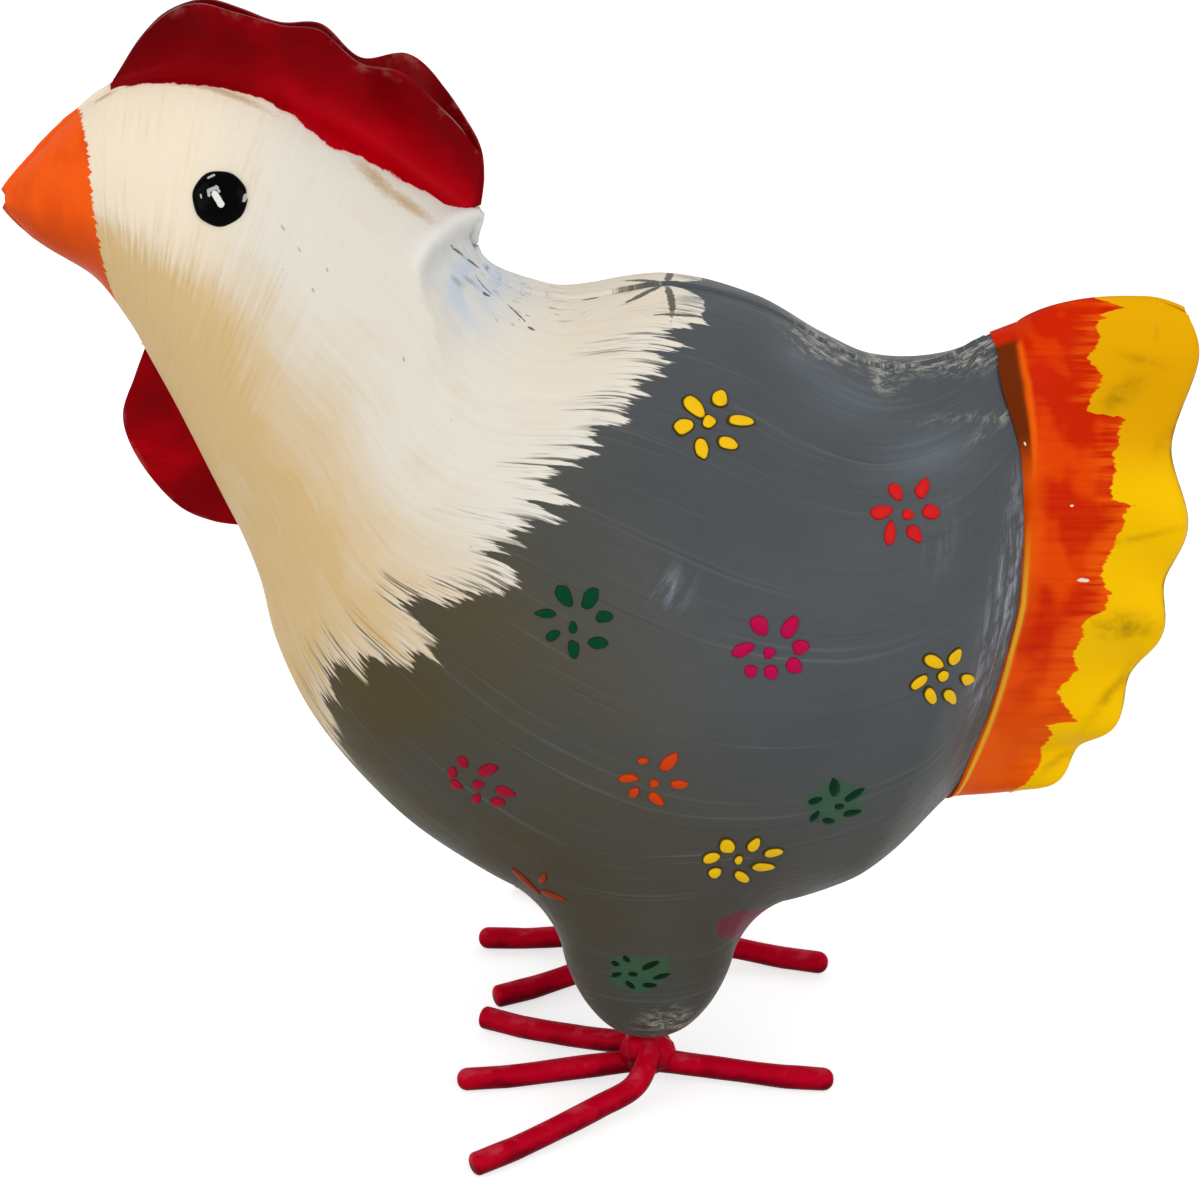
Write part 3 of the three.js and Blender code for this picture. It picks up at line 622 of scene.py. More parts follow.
class Coat:
    """The nodes of one paint coat, with a short call for each kind of node that it is built from."""

    def __init__(self, name, **sockets):
        self.material = bpy.data.materials.new(name)
        self.material.use_nodes = True
        self.tree = self.material.node_tree
        self.shader = self.tree.nodes["Principled BSDF"]
        for socket, value in sockets.items():
            self.shade(socket.replace("_", " "), value)

    def shade(self, socket, value):
        self.feed(self.shader.inputs[socket], value)

    def feed(self, socket, value):
        if isinstance(value, bpy.types.NodeSocket):
            self.tree.links.new(value, socket)
        else:
            socket.default_value = value

    def node(self, kind, inputs, output=0, **settings):
        made = self.tree.nodes.new("ShaderNode" + kind)
        for name, value in settings.items():
            setattr(made, name, value)
        for name, value in inputs.items():
            self.feed(made.inputs[name], value)
        return made.outputs[output]

    def place(self):
        return self.node("TexCoord", {}, output="Object")

    def field(self, name, output="Fac"):
        return self.node("Attribute", {}, output=output, attribute_name=name)

    def grain(self, vector, scale, turn=(0, 0, 0), shift=(0, 0, 0), detail=3.0, rough=0.5, warp=0.0):
        """Noise on a vector that is scaled, turned and shifted first."""
        inputs = {"Vector": vector, "Scale": scale, "Rotation": turn, "Location": shift}
        inputs = {"Vector": self.node("Mapping", inputs), "Scale": 1.0, "Detail": detail, "Roughness": rough,
                  "Distortion": warp}
        return self.node("TexNoise", inputs)

    def split(self, vector, axis):
        return self.node("SeparateXYZ", {"Vector": vector}, output=axis)

    def math(self, operation, a, b=0.0, clamp=False):
        return self.node("Math", {0: a, 1: b}, operation=operation, use_clamp=clamp)

    def times(self, a, b):
        return self.math("MULTIPLY", a, b)

    def plus(self, a, b, clamp=False):
        return self.math("ADD", a, b, clamp)

    def swing(self, value, reach):
        """A noise as a move to both sides of nought."""
        return self.times(self.math("SUBTRACT", value, 0.5), reach)

    def ramp(self, value, low, high, to_low=0.0, to_high=1.0):
        inputs = {"Value": value, "From Min": low, "From Max": high, "To Min": to_low, "To Max": to_high}
        return self.node("MapRange", inputs, interpolation_type="SMOOTHSTEP")

    def paint(self, name):
        """One of the hen's paint colours as linear light."""
        return linear(getattr(bpy.context.scene.hen_colours, name))

    def mix(self, share, a, b):
        """A share of the second colour over the first; each is a socket or the name of a paint."""
        a, b = (self.paint(c) if isinstance(c, str) else c for c in (a, b))
        return self.node("Mix", {0: share, 6: a, 7: b}, output=2, data_type="RGBA")

    def level(self, share, a, b):
        return self.node("Mix", {0: share, 2: a, 3: b}, output=0, data_type="FLOAT")

    def marks(self, vector, strokes, fray, inner=0.75, outer=1.15, blunt=False):
        """Where strokes between places lie: 1 inside one, 0 outside, with edges frayed by a noise."""
        found = 0.0
        for x0, y0, x1, y1, width in strokes:
            run = math.atan2(y1 - y0, x1 - x0)
            half = math.hypot(x1 - x0, y1 - y0) / 2
            reach = width / 2 if blunt else half + width / 2
            middle = ((x0 + x1) / 2, (y0 + y1) / 2, 0.0)
            inputs = {"Vector": vector, "Location": middle, "Rotation": (0.0, 0.0, run),
                      "Scale": (reach, width / 2, 1.0)}
            near = self.node("Mapping", inputs, vector_type="TEXTURE")
            if blunt:
                near = self.node("VectorMath", {0: near}, operation="ABSOLUTE")
                near = self.node("VectorMath", {0: near, 1: (half / reach, 0.0, 0.0)}, operation="SUBTRACT")
                near = self.node("VectorMath", {0: near, 1: (0.0, 0.0, 0.0)}, operation="MAXIMUM")
            far = self.node("VectorMath", {0: near}, output="Value", operation="LENGTH")
            found = self.math("MAXIMUM", found, self.ramp(self.plus(far, fray), outer, inner))
        return found

    def bump(self, height, distance, strength=1.0, normal=None):
        inputs = {"Height": height, "Distance": distance, "Strength": strength}
        if normal is not None:
            inputs["Normal"] = normal
        return self.node("Bump", inputs)


def grey_coat(coat, flow, place):
    """Slate paint brushed along the body, browner at the breast, darker low down as partly painted shade,
    with scuffs and painted highlights; returns colour and lines.
    """
    long_lines = coat.grain(flow, (0.012, 0.5, 1), detail=4, rough=0.65)
    fine_lines = coat.grain(flow, (0.02, 1.7, 1), shift=(3, 7, 0), detail=3, rough=0.65)
    cloud = coat.grain(place, (24, 24, 24), detail=3)
    height = coat.split(place, "Z")
    length = coat.split(place, "X")
    forward = coat.plus(coat.times(height, 0.35), length)
    breast = coat.ramp(forward, 0.075, -0.01)
    colour = coat.mix(breast, "slate", "brown_slate")
    # Darker and browner towards the bottom of the body and legs: partly painted shade under the body.
    low = coat.ramp(height, 0.1, 0.035, 0.0, 0.85)
    colour = coat.mix(low, colour, "low_slate_shade")
    colour = coat.mix(coat.ramp(cloud, 0.4, 0.7, 0.0, 0.6), colour, "deep_slate")
    # A bluish sheen on the shoulder: a painted highlight.
    sheen_highlight = coat.times(coat.field("sheen_highlight"), coat.ramp(long_lines, 0.35, 0.65, 0.35, 0.75))
    colour = coat.mix(sheen_highlight, colour, "sheen_highlight")
    pale = coat.times(coat.ramp(long_lines, 0.54, 0.7), coat.ramp(fine_lines, 0.45, 0.62))
    colour = coat.mix(coat.times(pale, 0.22), colour, "pale_slate")
    dark = coat.ramp(fine_lines, 0.42, 0.3)
    colour = coat.mix(coat.times(dark, 0.25), colour, "dark_slate")
    spot = coat.field("spot", "Vector")
    down = coat.grain(spot, (0.75, 0.05, 1), detail=5, rough=0.75)
    worn = coat.grain(spot, (0.5, 0.3, 1), shift=(2, 5, 0), detail=3, rough=0.6)
    # Pale bluish streaks beside the tail: brushed paint and partly a painted highlight.
    streak = coat.times(coat.ramp(down, 0.42, 0.62), coat.ramp(worn, 0.34, 0.6))
    streak = coat.times(streak, coat.field("streak"))
    colour = coat.mix(coat.times(streak, 0.85), colour, "streak")
    # Pale scratches, partly real wear and partly a painted highlight on the top of the back.
    rub = coat.grain(spot, (0.26, 0.5, 1), turn=(0, 0, 0.4), detail=6, rough=0.8, warp=0.5)
    scratch_and_highlight = coat.times(coat.field("scratch_and_highlight"), coat.ramp(rub, 0.46, 0.64))
    colour = coat.mix(coat.times(scratch_and_highlight, 0.8), colour, "scuff_and_highlight")
    patchy = coat.grain(place, (420, 420, 520), detail=3)
    for wash, strength in (("wash_green", 0.62), ("wash_pink", 0.75)):
        cover = coat.math("SUBTRACT", coat.field(wash), coat.ramp(patchy, 0.35, 0.75, 0.0, 0.55))
        cover = coat.ramp(cover, 0.0, 0.3, 0.0, strength)
        colour = coat.mix(cover, colour, wash)
    return colour, coat.plus(long_lines, fine_lines)


def white_coat(coat, flow, edge):
    """Cream paint, tan at the throat, brushed down the face and along the neck; returns colour and lines.
    Behind the nape a bluish painted reflection, and a painted highlight along the lip of its fold.
    """
    spot = coat.field("spot", "Vector")
    round_it = coat.split(spot, "Y")
    down_face = coat.grain(flow, (0.8, 0.045, 1), detail=3, rough=0.6)
    along_neck = coat.grain(flow, (0.04, 0.75, 1), detail=4, rough=0.6, warp=0.3)
    face = coat.ramp(coat.split(flow, "X"), 92.0, 64.0)
    upper = coat.ramp(coat.split(flow, "X"), 122.0, 86.0)
    lines = coat.level(upper, along_neck, down_face)
    cloud = coat.grain(flow, (0.04, 0.06, 1), detail=3)
    warmth = coat.ramp(round_it, 46.0, 95.0, -0.08, 1.0)
    warmth = coat.plus(warmth, coat.ramp(cloud, 0.3, 0.7, -0.14, 0.14))
    tan_lines = coat.grain(flow, (0.025, 0.3, 1), shift=(4, 1, 0), detail=3, rough=0.6)
    tan_lines = coat.level(upper, tan_lines, down_face)
    throat = coat.times(coat.ramp(round_it, 54.0, 84.0), coat.ramp(coat.split(spot, "X"), 112.0, 80.0))
    warmth = coat.plus(warmth, coat.times(throat, coat.ramp(tan_lines, 0.26, 0.74, 0.05, 0.4)))
    warmth = coat.plus(warmth, coat.ramp(tan_lines, 0.36, 0.64, -0.06, 0.08))
    warmth = coat.plus(warmth, coat.times(face, 0.15), clamp=True)
    colour = coat.mix(warmth, "cream", "warm_cream")
    colour = coat.mix(coat.times(face, coat.ramp(warmth, 0.2, 0.9, 0.8, 0.0)), colour, "face_cream")
    back = coat.times(coat.ramp(round_it, 44.0, 26.0), coat.ramp(coat.split(spot, "X"), 146.0, 162.0))
    colour = coat.mix(coat.times(back, 0.5), colour, "rosy_cream")
    ground = coat.times(coat.ramp(lines, 0.52, 0.74), coat.ramp(warmth, 0.0, 1.0, 0.14, 0.3))
    colour = coat.mix(ground, colour, "tan")
    light = coat.times(coat.ramp(lines, 0.44, 0.28), coat.ramp(warmth, 0.1, 0.8, 0.28, 0.1))
    colour = coat.mix(light, colour, "pale")
    specks = coat.grain(flow, (0.4, 0.6, 1), detail=1)
    colour = coat.mix(coat.ramp(specks, 0.78, 0.82, 0.0, 0.6), colour, "speck")
    colour = coat.mix(coat.ramp(edge, 9.0, 1.0, 0.0, 0.4), colour, "pale")
    daub = coat.grain(spot, (0.16, 0.22, 1), detail=4, rough=0.65, warp=0.6)
    # Bluish white behind the nape: a painted reflection of the sky.
    sky_sheen = coat.times(coat.field("nape"), coat.ramp(daub, 0.36, 0.56, 0.35, 1.0))
    colour = coat.mix(sky_sheen, colour, "sky_sheen_white")
    colour = coat.mix(coat.times(coat.field("hollow"), 0.55), colour, "hollow")
    # Painted highlight along the lip of the fold at the nape.
    colour = coat.mix(coat.times(coat.field("lip"), 0.7), colour, "lip")
    cracks = coat.grain(spot, (0.16, 0.4, 1), detail=5, rough=0.75, warp=0.9)
    crack = coat.times(coat.ramp(cracks, 0.55, 0.66), coat.field("crack"))
    colour = coat.mix(coat.times(crack, 0.7), colour, "crack")
    fray = coat.grain(spot, (0.9, 0.9, 1), detail=4, rough=0.7)
    fray = coat.swing(fray, 1.6)
    smear = coat.marks(spot, STAINS, fray, 0.1, 1.3)
    colour = coat.mix(coat.times(smear, 0.8), colour, "stain")
    smudge = coat.marks(spot, SMUDGES, fray, 0.1, 1.3)
    colour = coat.mix(coat.times(smudge, 0.6), colour, "smudge")
    for strokes, paint, strength in (
        (SPECKS, "speck", 0.6), (TACKS, "tack", 0.9), (CRACKS, "crack", 0.85),
    ):
        found = coat.marks(spot, strokes, fray)
        colour = coat.mix(coat.times(found, strength), colour, paint)
    return colour, lines


def feathering(coat, flow):
    """How far the white covers the grey: clumps of pointed strokes with bristle lines between them."""
    clumps = coat.grain(flow, (0.02, 0.115, 1), shift=(0, 3, 0), detail=1)
    strokes = coat.grain(flow, (0.05, 0.42, 1), shift=(5, 2, 0), detail=1, rough=0.5)
    bristles = coat.grain(flow, (0.1, 1.5, 1), shift=(1, 9, 0), detail=3, rough=0.65)
    edge = coat.times(coat.plus(coat.field("feather"), 1.6), -1.0)
    ragged = coat.field("ragged")
    for layer, reach in ((clumps, 22.0), (strokes, 15.0), (bristles, 11.0)):
        step = coat.swing(layer, reach)
        edge = coat.plus(edge, coat.times(step, ragged))
    covered = coat.ramp(edge, -0.4, 0.6)
    line = coat.grain(flow, (0.06, 1.5, 1), shift=(8, 4, 0), detail=3, rough=0.65)
    gather = coat.grain(flow, (0.04, 0.16, 1), shift=(2, 6, 0), detail=1)
    depth = coat.plus(edge, coat.ramp(gather, 0.35, 0.65, 4.0, -4.0))
    bare = coat.times(coat.ramp(line, 0.51, 0.59), coat.ramp(depth, 10.0, 0.0))
    covered = coat.math("SUBTRACT", covered, coat.times(bare, 0.85), clamp=True)
    return covered, edge


def hen_coat():
    """The body's paint: grey with a feathered white head and neck, an orange beak and a red crown."""
    coat = Coat("hen_paint", Specular_IOR_Level=0.03)
    place = coat.place()
    flow = coat.field("flow", "Vector")
    grey, grey_lines = grey_coat(coat, flow, place)
    covered, edge = feathering(coat, flow)
    white, white_lines = white_coat(coat, flow, edge)
    colour = coat.mix(covered, grey, white)

    jag = coat.grain(flow, (0.16, 0.42, 1), detail=3, rough=0.65)
    beak = coat.plus(coat.field("beak"), coat.swing(jag, 7.0))
    on_beak = coat.ramp(beak, -0.25, 0.25)
    mottle = coat.grain(place, (120, 120, 80), detail=3)
    orange = coat.mix(coat.ramp(mottle, 0.42, 0.68), "beak_orange", "beak_deep")
    # The lower half of the beak darker: painted shade under the light from above.
    low = coat.ramp(coat.split(coat.field("spot", "Vector"), "Y"), 62.0, 100.0, 0.0, 0.7)
    orange = coat.mix(low, orange, "beak_low_shade")
    colour = coat.mix(on_beak, colour, orange)

    nick = coat.grain(flow, (0.3, 0.3, 1), shift=(4, 4, 0), detail=3, rough=0.6)
    crown = coat.plus(coat.field("crown"), coat.swing(nick, 2.6))
    on_crown = coat.ramp(crown, -0.2, 0.2)
    bleed = coat.ramp(crown, -1.1, -0.1, 0.0, 0.45)
    colour = coat.mix(bleed, colour, "bleed")
    colour = coat.mix(on_crown, colour, red_colour(coat, place))
    coat.shade("Base Color", colour)

    gloss = coat.level(covered, 0.36, 0.5)
    gloss = coat.level(on_beak, gloss, 0.42)
    gloss = coat.level(on_crown, gloss, 0.32)
    wear = coat.grain(place, (70, 70, 70), detail=4)
    coat.shade("Roughness", coat.plus(gloss, coat.ramp(wear, 0.3, 0.7, -0.06, 0.08)))
    lines = coat.level(covered, grey_lines, white_lines)
    brushed = coat.bump(lines, 0.00025, 0.5)
    peel = coat.grain(place, (230, 230, 230), detail=3, rough=0.6)
    brushed = coat.bump(peel, 0.0004, 0.35, brushed)
    ridge = coat.plus(covered, coat.plus(on_beak, on_crown))
    coat.shade("Normal", coat.bump(ridge, 0.00015, 0.5, brushed))
    return coat.material


def red_colour(coat, place):
    """The comb's red: deep, with brighter brushed clouds towards the rear."""
    cloud = coat.grain(place, (38, 38, 55), detail=3)
    lines = coat.grain(place, (90, 260, 420), turn=(0, 0.6, 0), detail=3)
    bright = coat.times(coat.ramp(cloud, 0.4, 0.65), coat.ramp(lines, 0.3, 0.6, 0.5, 1.0))
    rear = coat.ramp(coat.split(place, "X"), -0.075, -0.032, 0.0, 0.75)
    bright = coat.plus(coat.times(bright, 0.75), rear, clamp=True)
    return coat.mix(bright, "comb_red", "comb_bright")


def comb_coat():
    """Red paint of the comb and the wattle, pink on its edges, partly rubbed and partly a painted highlight.
    """
    coat = Coat("comb_brushed", Specular_IOR_Level=0.03)
    place = coat.place()
    colour = red_colour(coat, place)
    chips = coat.grain(place, (170, 170, 170), detail=4, rough=0.6)
    brush = coat.grain(place, (60, 60, 34), detail=4, rough=0.6)
    high = coat.times(coat.field("rise"), coat.ramp(brush, 0.35, 0.62, 0.55, 1.0))
    colour = coat.mix(coat.times(high, 0.8), colour, "comb_dark")
    # Pink on the rims: partly rubbed paint and partly a painted highlight.
    rim = coat.times(coat.field("rim"), coat.ramp(chips, 0.5, 0.66))
    colour = coat.mix(coat.times(rim, 0.25), colour, "comb_rub_and_highlight")
    leaf = coat.field("leaf", "Vector")
    fray = coat.grain(leaf, (0.8, 0.8, 1), detail=4, rough=0.7)
    fray = coat.swing(fray, 1.6)
    colour = coat.mix(coat.marks(leaf, COMB_CHIPS, fray), colour, "tail_chip")
    coat.shade("Base Color", colour)
    wear = coat.grain(place, (80, 80, 80), detail=4)
    coat.shade("Roughness", coat.ramp(wear, 0.3, 0.7, 0.28, 0.46))
    lines = coat.grain(place, (160, 420, 800), turn=(0, 0.6, 0), detail=3)
    coat.shade("Normal", coat.bump(lines, 0.0002, 0.4))
    return coat.material


def tail_coat():
    """Orange and red paint brushed backwards in tongues over a yellow rear edge.
    Painted highlights lie on the ridge and the lower front edge, painted light low down and painted shade in
    the folds.
    """
    coat = Coat("tail_brushed", Specular_IOR_Level=0.03)
    place = coat.place()
    flow = coat.field("flow", "Vector")
    lines = coat.grain(flow, (0.045, 0.75, 1), detail=4, rough=0.6)
    teeth = coat.grain(flow, (0.12, 1.2, 1), shift=(8, 1, 0), detail=3, rough=0.6)
    tongue = coat.field("tongue")
    flame = coat.plus(tongue, coat.swing(teeth, 2.6))
    yellow_on = coat.ramp(flame, -0.2, 0.25)
    cloud = coat.grain(flow, (0.1, 0.09, 1), shift=(0, 4, 0), detail=2, rough=0.5)
    deep = coat.ramp(cloud, 0.4, 0.62, 0.0, 0.9)
    deep = coat.plus(deep, coat.ramp(lines, 0.4, 0.68, -0.1, 0.18), clamp=True)
    deep = coat.plus(deep, coat.ramp(coat.split(flow, "Y"), 12.0, 48.0, 0.0, 0.5), clamp=True)
    orange = coat.mix(deep, "tail_orange", "tail_red")
    near = coat.ramp(flame, -6.0, -0.3, 0.0, 0.6)
    orange = coat.mix(coat.times(near, coat.ramp(lines, 0.58, 0.4)), orange, "tail_pale_and_highlight")
    # The lower orange lighter: painted light.
    low = coat.ramp(coat.split(flow, "Y"), -12.0, -32.0, 0.0, 0.6)
    orange = coat.mix(low, orange, "tail_pale_and_highlight")
    # Painted highlight along the ridge.
    orange = coat.mix(coat.field("ridge"), orange, "tail_pale_and_highlight")
    orange = coat.mix(coat.times(coat.field("crest"), 0.8), orange, "tail_red")
    # Painted highlight on the front edge of the lower half.
    orange = coat.mix(coat.field("lip"), orange, "tail_lip_highlight")
    orange = coat.mix(coat.field("flange"), orange, "tail_flange")
    fray = coat.grain(flow, (0.9, 0.9, 1), detail=3)
    fray = coat.swing(fray, 1.2)
    orange = coat.mix(coat.marks(flow, TAIL_CHIPS, fray), orange, "tail_chip")
    # Darker in the folds of the yellow: dirt and painted shade.
    grime_and_shade = coat.grain(flow, (0.25, 0.35, 1), detail=5, rough=0.7, warp=0.4)
    grime_and_shade = coat.times(coat.ramp(grime_and_shade, 0.36, 0.62, 0.35, 1.0), coat.field("fold"))
    yellow = coat.mix(coat.ramp(lines, 0.42, 0.72, 0.0, 0.3), "tail_yellow", "tail_gold")
    # The lower yellow brighter and the upper darker: painted light and shade.
    lit_low = coat.ramp(coat.split(flow, "Y"), 32.0, 18.0)
    yellow = coat.mix(lit_low, yellow, "tail_lit_yellow")
    yellow = coat.mix(coat.times(grime_and_shade, 0.75), yellow, "tail_grime_and_shade")
    colour = coat.mix(yellow_on, orange, yellow)
    nicks = coat.grain(flow, (0.2, 0.35, 1), shift=(6, 2, 0), detail=3)
    rim = coat.times(coat.field("rim"), coat.ramp(nicks, 0.3, 0.6, 0.3, 0.85))
    coat.shade("Base Color", coat.mix(rim, colour, "tail_rim"))
    wear = coat.grain(place, (90, 90, 90), detail=4)
    coat.shade("Roughness", coat.ramp(wear, 0.3, 0.7, 0.34, 0.52))
    brushed = coat.bump(lines, 0.00025, 0.45)
    coat.shade("Normal", coat.bump(yellow_on, 0.00015, 0.4, brushed))
    return coat.material


def rod_coat():
    """Thick crimson gloss on the rods of the feet, uneven, with painted shade underneath and a painted
    highlight on top.
    """
    coat = Coat("rod_gloss", Roughness=0.3, Specular_IOR_Level=0.02)
    place = coat.place()
    cloud = coat.grain(place, (120, 120, 120), detail=4, rough=0.6)
    # The over field is 1 on top of a rod and 0 underneath: painted shade below and painted light above.
    over = coat.plus(coat.field("over"), coat.ramp(cloud, 0.3, 0.7, 0.22, -0.22))
    colour = coat.mix(coat.ramp(over, 0.15, 0.8), "rod_shade", "rod_crimson")
    worn = coat.grain(place, (150, 260, 260), shift=(3, 0, 0), detail=4)
    # Painted highlight along the tops of the rods.
    top_highlight = coat.times(coat.ramp(over, 0.86, 1.12), coat.ramp(worn, 0.42, 0.66, 0.05, 0.5))
    colour = coat.mix(top_highlight, colour, "rod_highlight")
    coat.shade("Base Color", colour)
    drips = coat.grain(place, (240, 240, 240), detail=3)
    coat.shade("Normal", coat.bump(drips, 0.0006, 0.5))
    return coat.material


def eye_coat():
    """Glossy black with a tilted white pill, a bracket over it and a few flecks, some of them painted glints.
    """
    coat = Coat("eye_gloss", Roughness=0.14, Specular_IOR_Level=0.03)
    disc = coat.field("disc", "Vector")
    wobble = coat.grain(disc, (0.9, 0.9, 1), detail=3)
    wobble = coat.swing(wobble, 0.5)
    pill = coat.marks(disc, EYE_PILL, wobble, 0.9, 1.1, blunt=True)
    flecks_and_glints = coat.marks(disc, EYE_FLECKS_AND_GLINTS, wobble, 0.8, 1.2, blunt=True)
    white = coat.math("MAXIMUM", pill, coat.times(flecks_and_glints, 0.6))
    coat.shade("Base Color", coat.mix(white, "eye_black", "eye_mark_and_glint"))
    ripple = coat.grain(disc, (0.5, 0.5, 1), detail=2)
    coat.shade("Normal", coat.bump(ripple, 0.0004, 0.5))
    return coat.material


def dab_coat(colour):
    """Thick dabs of one flower colour, streaked by the brush and darker at their rims, where dark paint is
    partly a painted shadow.
    """
    coat = Coat("dab_" + colour, Roughness=0.38, Specular_IOR_Level=0.04)
    place = coat.place()
    streak = coat.grain(place, (420, 420, 420), detail=4, rough=0.6)
    base = coat.paint(colour)
    shade = tuple(c * 0.75 for c in base[:3]) + (1.0,)
    outline = 0.95 if colour == "yellow" else 0.45
    inner = 0.74 if colour == "yellow" else 0.8
    body = coat.mix(coat.ramp(streak, 0.5, 0.76, 0.0, 0.6), base, shade)
    rim = coat.ramp(coat.field("edge"), inner, inner + 0.13, 0.0, outline)
    coat.shade("Base Color", coat.mix(rim, body, "outline"))
    coat.shade("Normal", coat.bump(streak, 0.0003, 0.5))
    return coat.material


def coat_of(name, maker, *inputs):
    """A material by name, made once."""
    return bpy.data.materials.get(name) or maker(*inputs)


def half_grid(side, columns, rows):
    """The grid of a half skin, along and around it, closed at the tip of the beak."""
    def place(u, v):
        points = skin(u, v * math.pi)
        points[:, 1] += SKIN_RIM * (1.0 - ease(u, 0.0, BEAK_TIP))
        tip = u < 1e-6
        points[tip, 1] = 0.0
        points[tip, 2] = points[tip, 2].mean()
        return mirrored(points, side)
    return grid_mesh(columns, rows, place, flip=side < 0)


class HEN_OT_body(bpy.types.Operator):
    """Makes the two half shells of head, neck and body"""

    bl_idname = "hen.body"
    bl_label = "Body shells"

    def execute(self, context):
        for name, side in SIDES.items():
            mesh, shares = half_grid(side, *BODY_GRID)
            along, around = shares[:, 0], shares[:, 1] * math.pi
            fields = flow_fields(along, around, smooth_skin(along, around))
            piece = finish_piece(name + "_body_skin", mesh, coat_of("hen_paint", hen_coat),
                                 [name + "_body_shell"], fields, weld=WELD)
            wall(piece, context.scene.hen_sizes.sheet)
        return {"FINISHED"}


def tube_piece(name, path, radii, sides, material, nodes, fields=None, bulge=0.6):
    """A round bar along a path of points with its radius at each and rounded ends, as a finished piece."""
    run = np.gradient(path, axis=0)
    run /= np.linalg.norm(run, axis=1, keepdims=True)
    right = np.cross(run, np.array([0.0, 0.0, 1.0]))
    right /= np.maximum(np.linalg.norm(right, axis=1, keepdims=True), 1e-6)
    over = np.cross(right, run)
    columns = len(path) - 1 + 2 * TUBE_ROUNDS

    def step_of(u):
        index = np.rint(u * columns).astype(int)
        return index, np.clip(index - TUBE_ROUNDS, 0, len(path) - 1)

    def place(u, v):
        index, step = step_of(u)
        from_end = np.minimum(np.minimum(index, columns - index) / TUBE_ROUNDS, 1.0) * math.pi / 2
        ahead = np.cos(from_end) * np.where(index < TUBE_ROUNDS, -bulge, bulge) * radii[step]
        size = np.sin(from_end) ** (0.4 + 0.5 * bulge) * radii[step]
        angle = v * 2 * math.pi
        ring = right[step] * np.cos(angle)[:, None] + over[step] * np.sin(angle)[:, None]
        return path[step] + ring * size[:, None] + run[step] * ahead[:, None]

    mesh, shares = grid_mesh(columns, sides, place, flip=True)
    values = fields(step_of(shares[:, 0])[1], shares[:, 1] * 2 * math.pi) if fields else None
    return finish_piece(name, mesh, material, nodes, values, weld=WELD)


def seam_point(line, share):
    """Points of the upper (0) or the lower (1) seam in the middle plane."""
    columns = STATION_ROWS[:, 2 * line:2 * line + 2]
    flat = spline(columns, share)
    return np.stack([flat[..., 0] + SHIFT, 0 * flat[..., 0], flat[..., 1]], -1)


def along_upper(x):
    """The place along the upper seam that lies under x."""
    shares = np.linspace(0, 1, 800)
    return np.interp(x, seam_point(0, shares)[:, 0], shares)


class HEN_OT_seams(bpy.types.Operator):
    """Makes the weld beads along the seam between the half shells"""

    bl_idname = "hen.seams"
    bl_label = "Seam welds"

    def execute(self, context):
        bead = context.scene.hen_sizes.seam_bead / MM
        comb_from = along_upper(COMB_EDGE[0][0] + SHIFT)
        comb_to = along_upper(COMB_EDGE[-1][0] + SHIFT)
        back = [(0, u) for u in np.linspace(comb_to - 0.01, 0.995, 150)]
        belly = [(1, u) for u in np.linspace(WATTLE_SPAN[1] - 0.01, 0.995, 190)]
        throat = [(1, u) for u in np.linspace(WATTLE_SPAN[0] + 0.01, TIP_BEAD, 60)]
        brow = [(0, u) for u in np.linspace(TIP_BEAD, comb_from + 0.02, 40)]
        for name, places in (("back", back), ("belly", belly), ("face", throat + brow)):
            self.weld(name, places, bead)
        return {"FINISHED"}

    def weld(self, name, places, bead):
        lines = np.array([line for line, _ in places], float)
        along = np.array([u for _, u in places])
        middle = np.array([seam_point(line, u) for line, u in places])
        inward = np.array([seam_point(1 - line, u) for line, u in places]) - middle
        inward /= np.maximum(np.linalg.norm(inward, axis=1, keepdims=True), 1e-6)
        sunk = bead * BEAD_SUNK - relief(along, lines * math.pi)
        path = middle + inward * sunk[:, None]
        swell = 1 + sum(share * lumps(path, size, seed) for size, seed, share in BEAD_LUMPS)

        def fields(step, turn):
            return flow_fields(along[step], lines[step] * math.pi, path[step])
        tube_piece(name + "_seam_bead", path, bead * swell, BEAD_SIDES, coat_of("hen_paint", hen_coat),
                   [name + "_seam_weld"], fields)


def comb_section(share, height):
    """Points of a comb leaf's outer face: share from front to rear, height from the crown to its edge."""
    free = spline(COMB_EDGE, share)
    edge = np.stack([free[:, 0] + SHIFT, 0 * share, free[:, 1]], -1)
    lobe = np.clip((share - COMB_FLARE_SPAN[0]) / (COMB_FLARE_SPAN[1] - COMB_FLARE_SPAN[0]), 0, 1)
    edge[:, 1] = CLOSED - COMB_FLARE * np.sin(math.pi * lobe) ** 2
    along = along_upper(np.minimum(edge[:, 0], COMB_REAR + SHIFT))
    half = spline(np.c_[STATION_ROWS[:, 4], STATION_ROWS[:, 4], STATION_ROWS[:, 4]], along)[:, 0]
    narrow = np.sin(np.pi * np.clip(share, 0.02, 0.98)) ** 0.35
    around = np.arcsin(np.clip(COMB_FOOT * narrow / half, 0, 0.95))
    foot = smooth_skin(along, around) + skin_out(along, around) * 0.02
    crown = smooth_skin(along, 0 * around) + skin_out(along, 0 * around) * 0.6
    tall = edge - crown
    waist = crown + tall * COMB_WAIST
    waist[:, 1] = CLOSED - 0.3
    near = foot + (crown - foot) * 0.62 + skin_out(along, around) * 0.1
    t = height[:, None]
    points = foot * (1 - t) ** 3 + 3 * near * t * (1 - t) ** 2 + 3 * waist * t**2 * (1 - t) + edge * t**3
    flute = np.sin(math.pi * COMB_FLUTES * share) ** 2
    flute = flute * ease(share, 0.0, 0.12) * (1 - ease(share, 0.86, 0.98))
    points[:, 1] -= COMB_FLUTE_DEPTH * flute * ease(height, 0.35, 0.9)
    return points


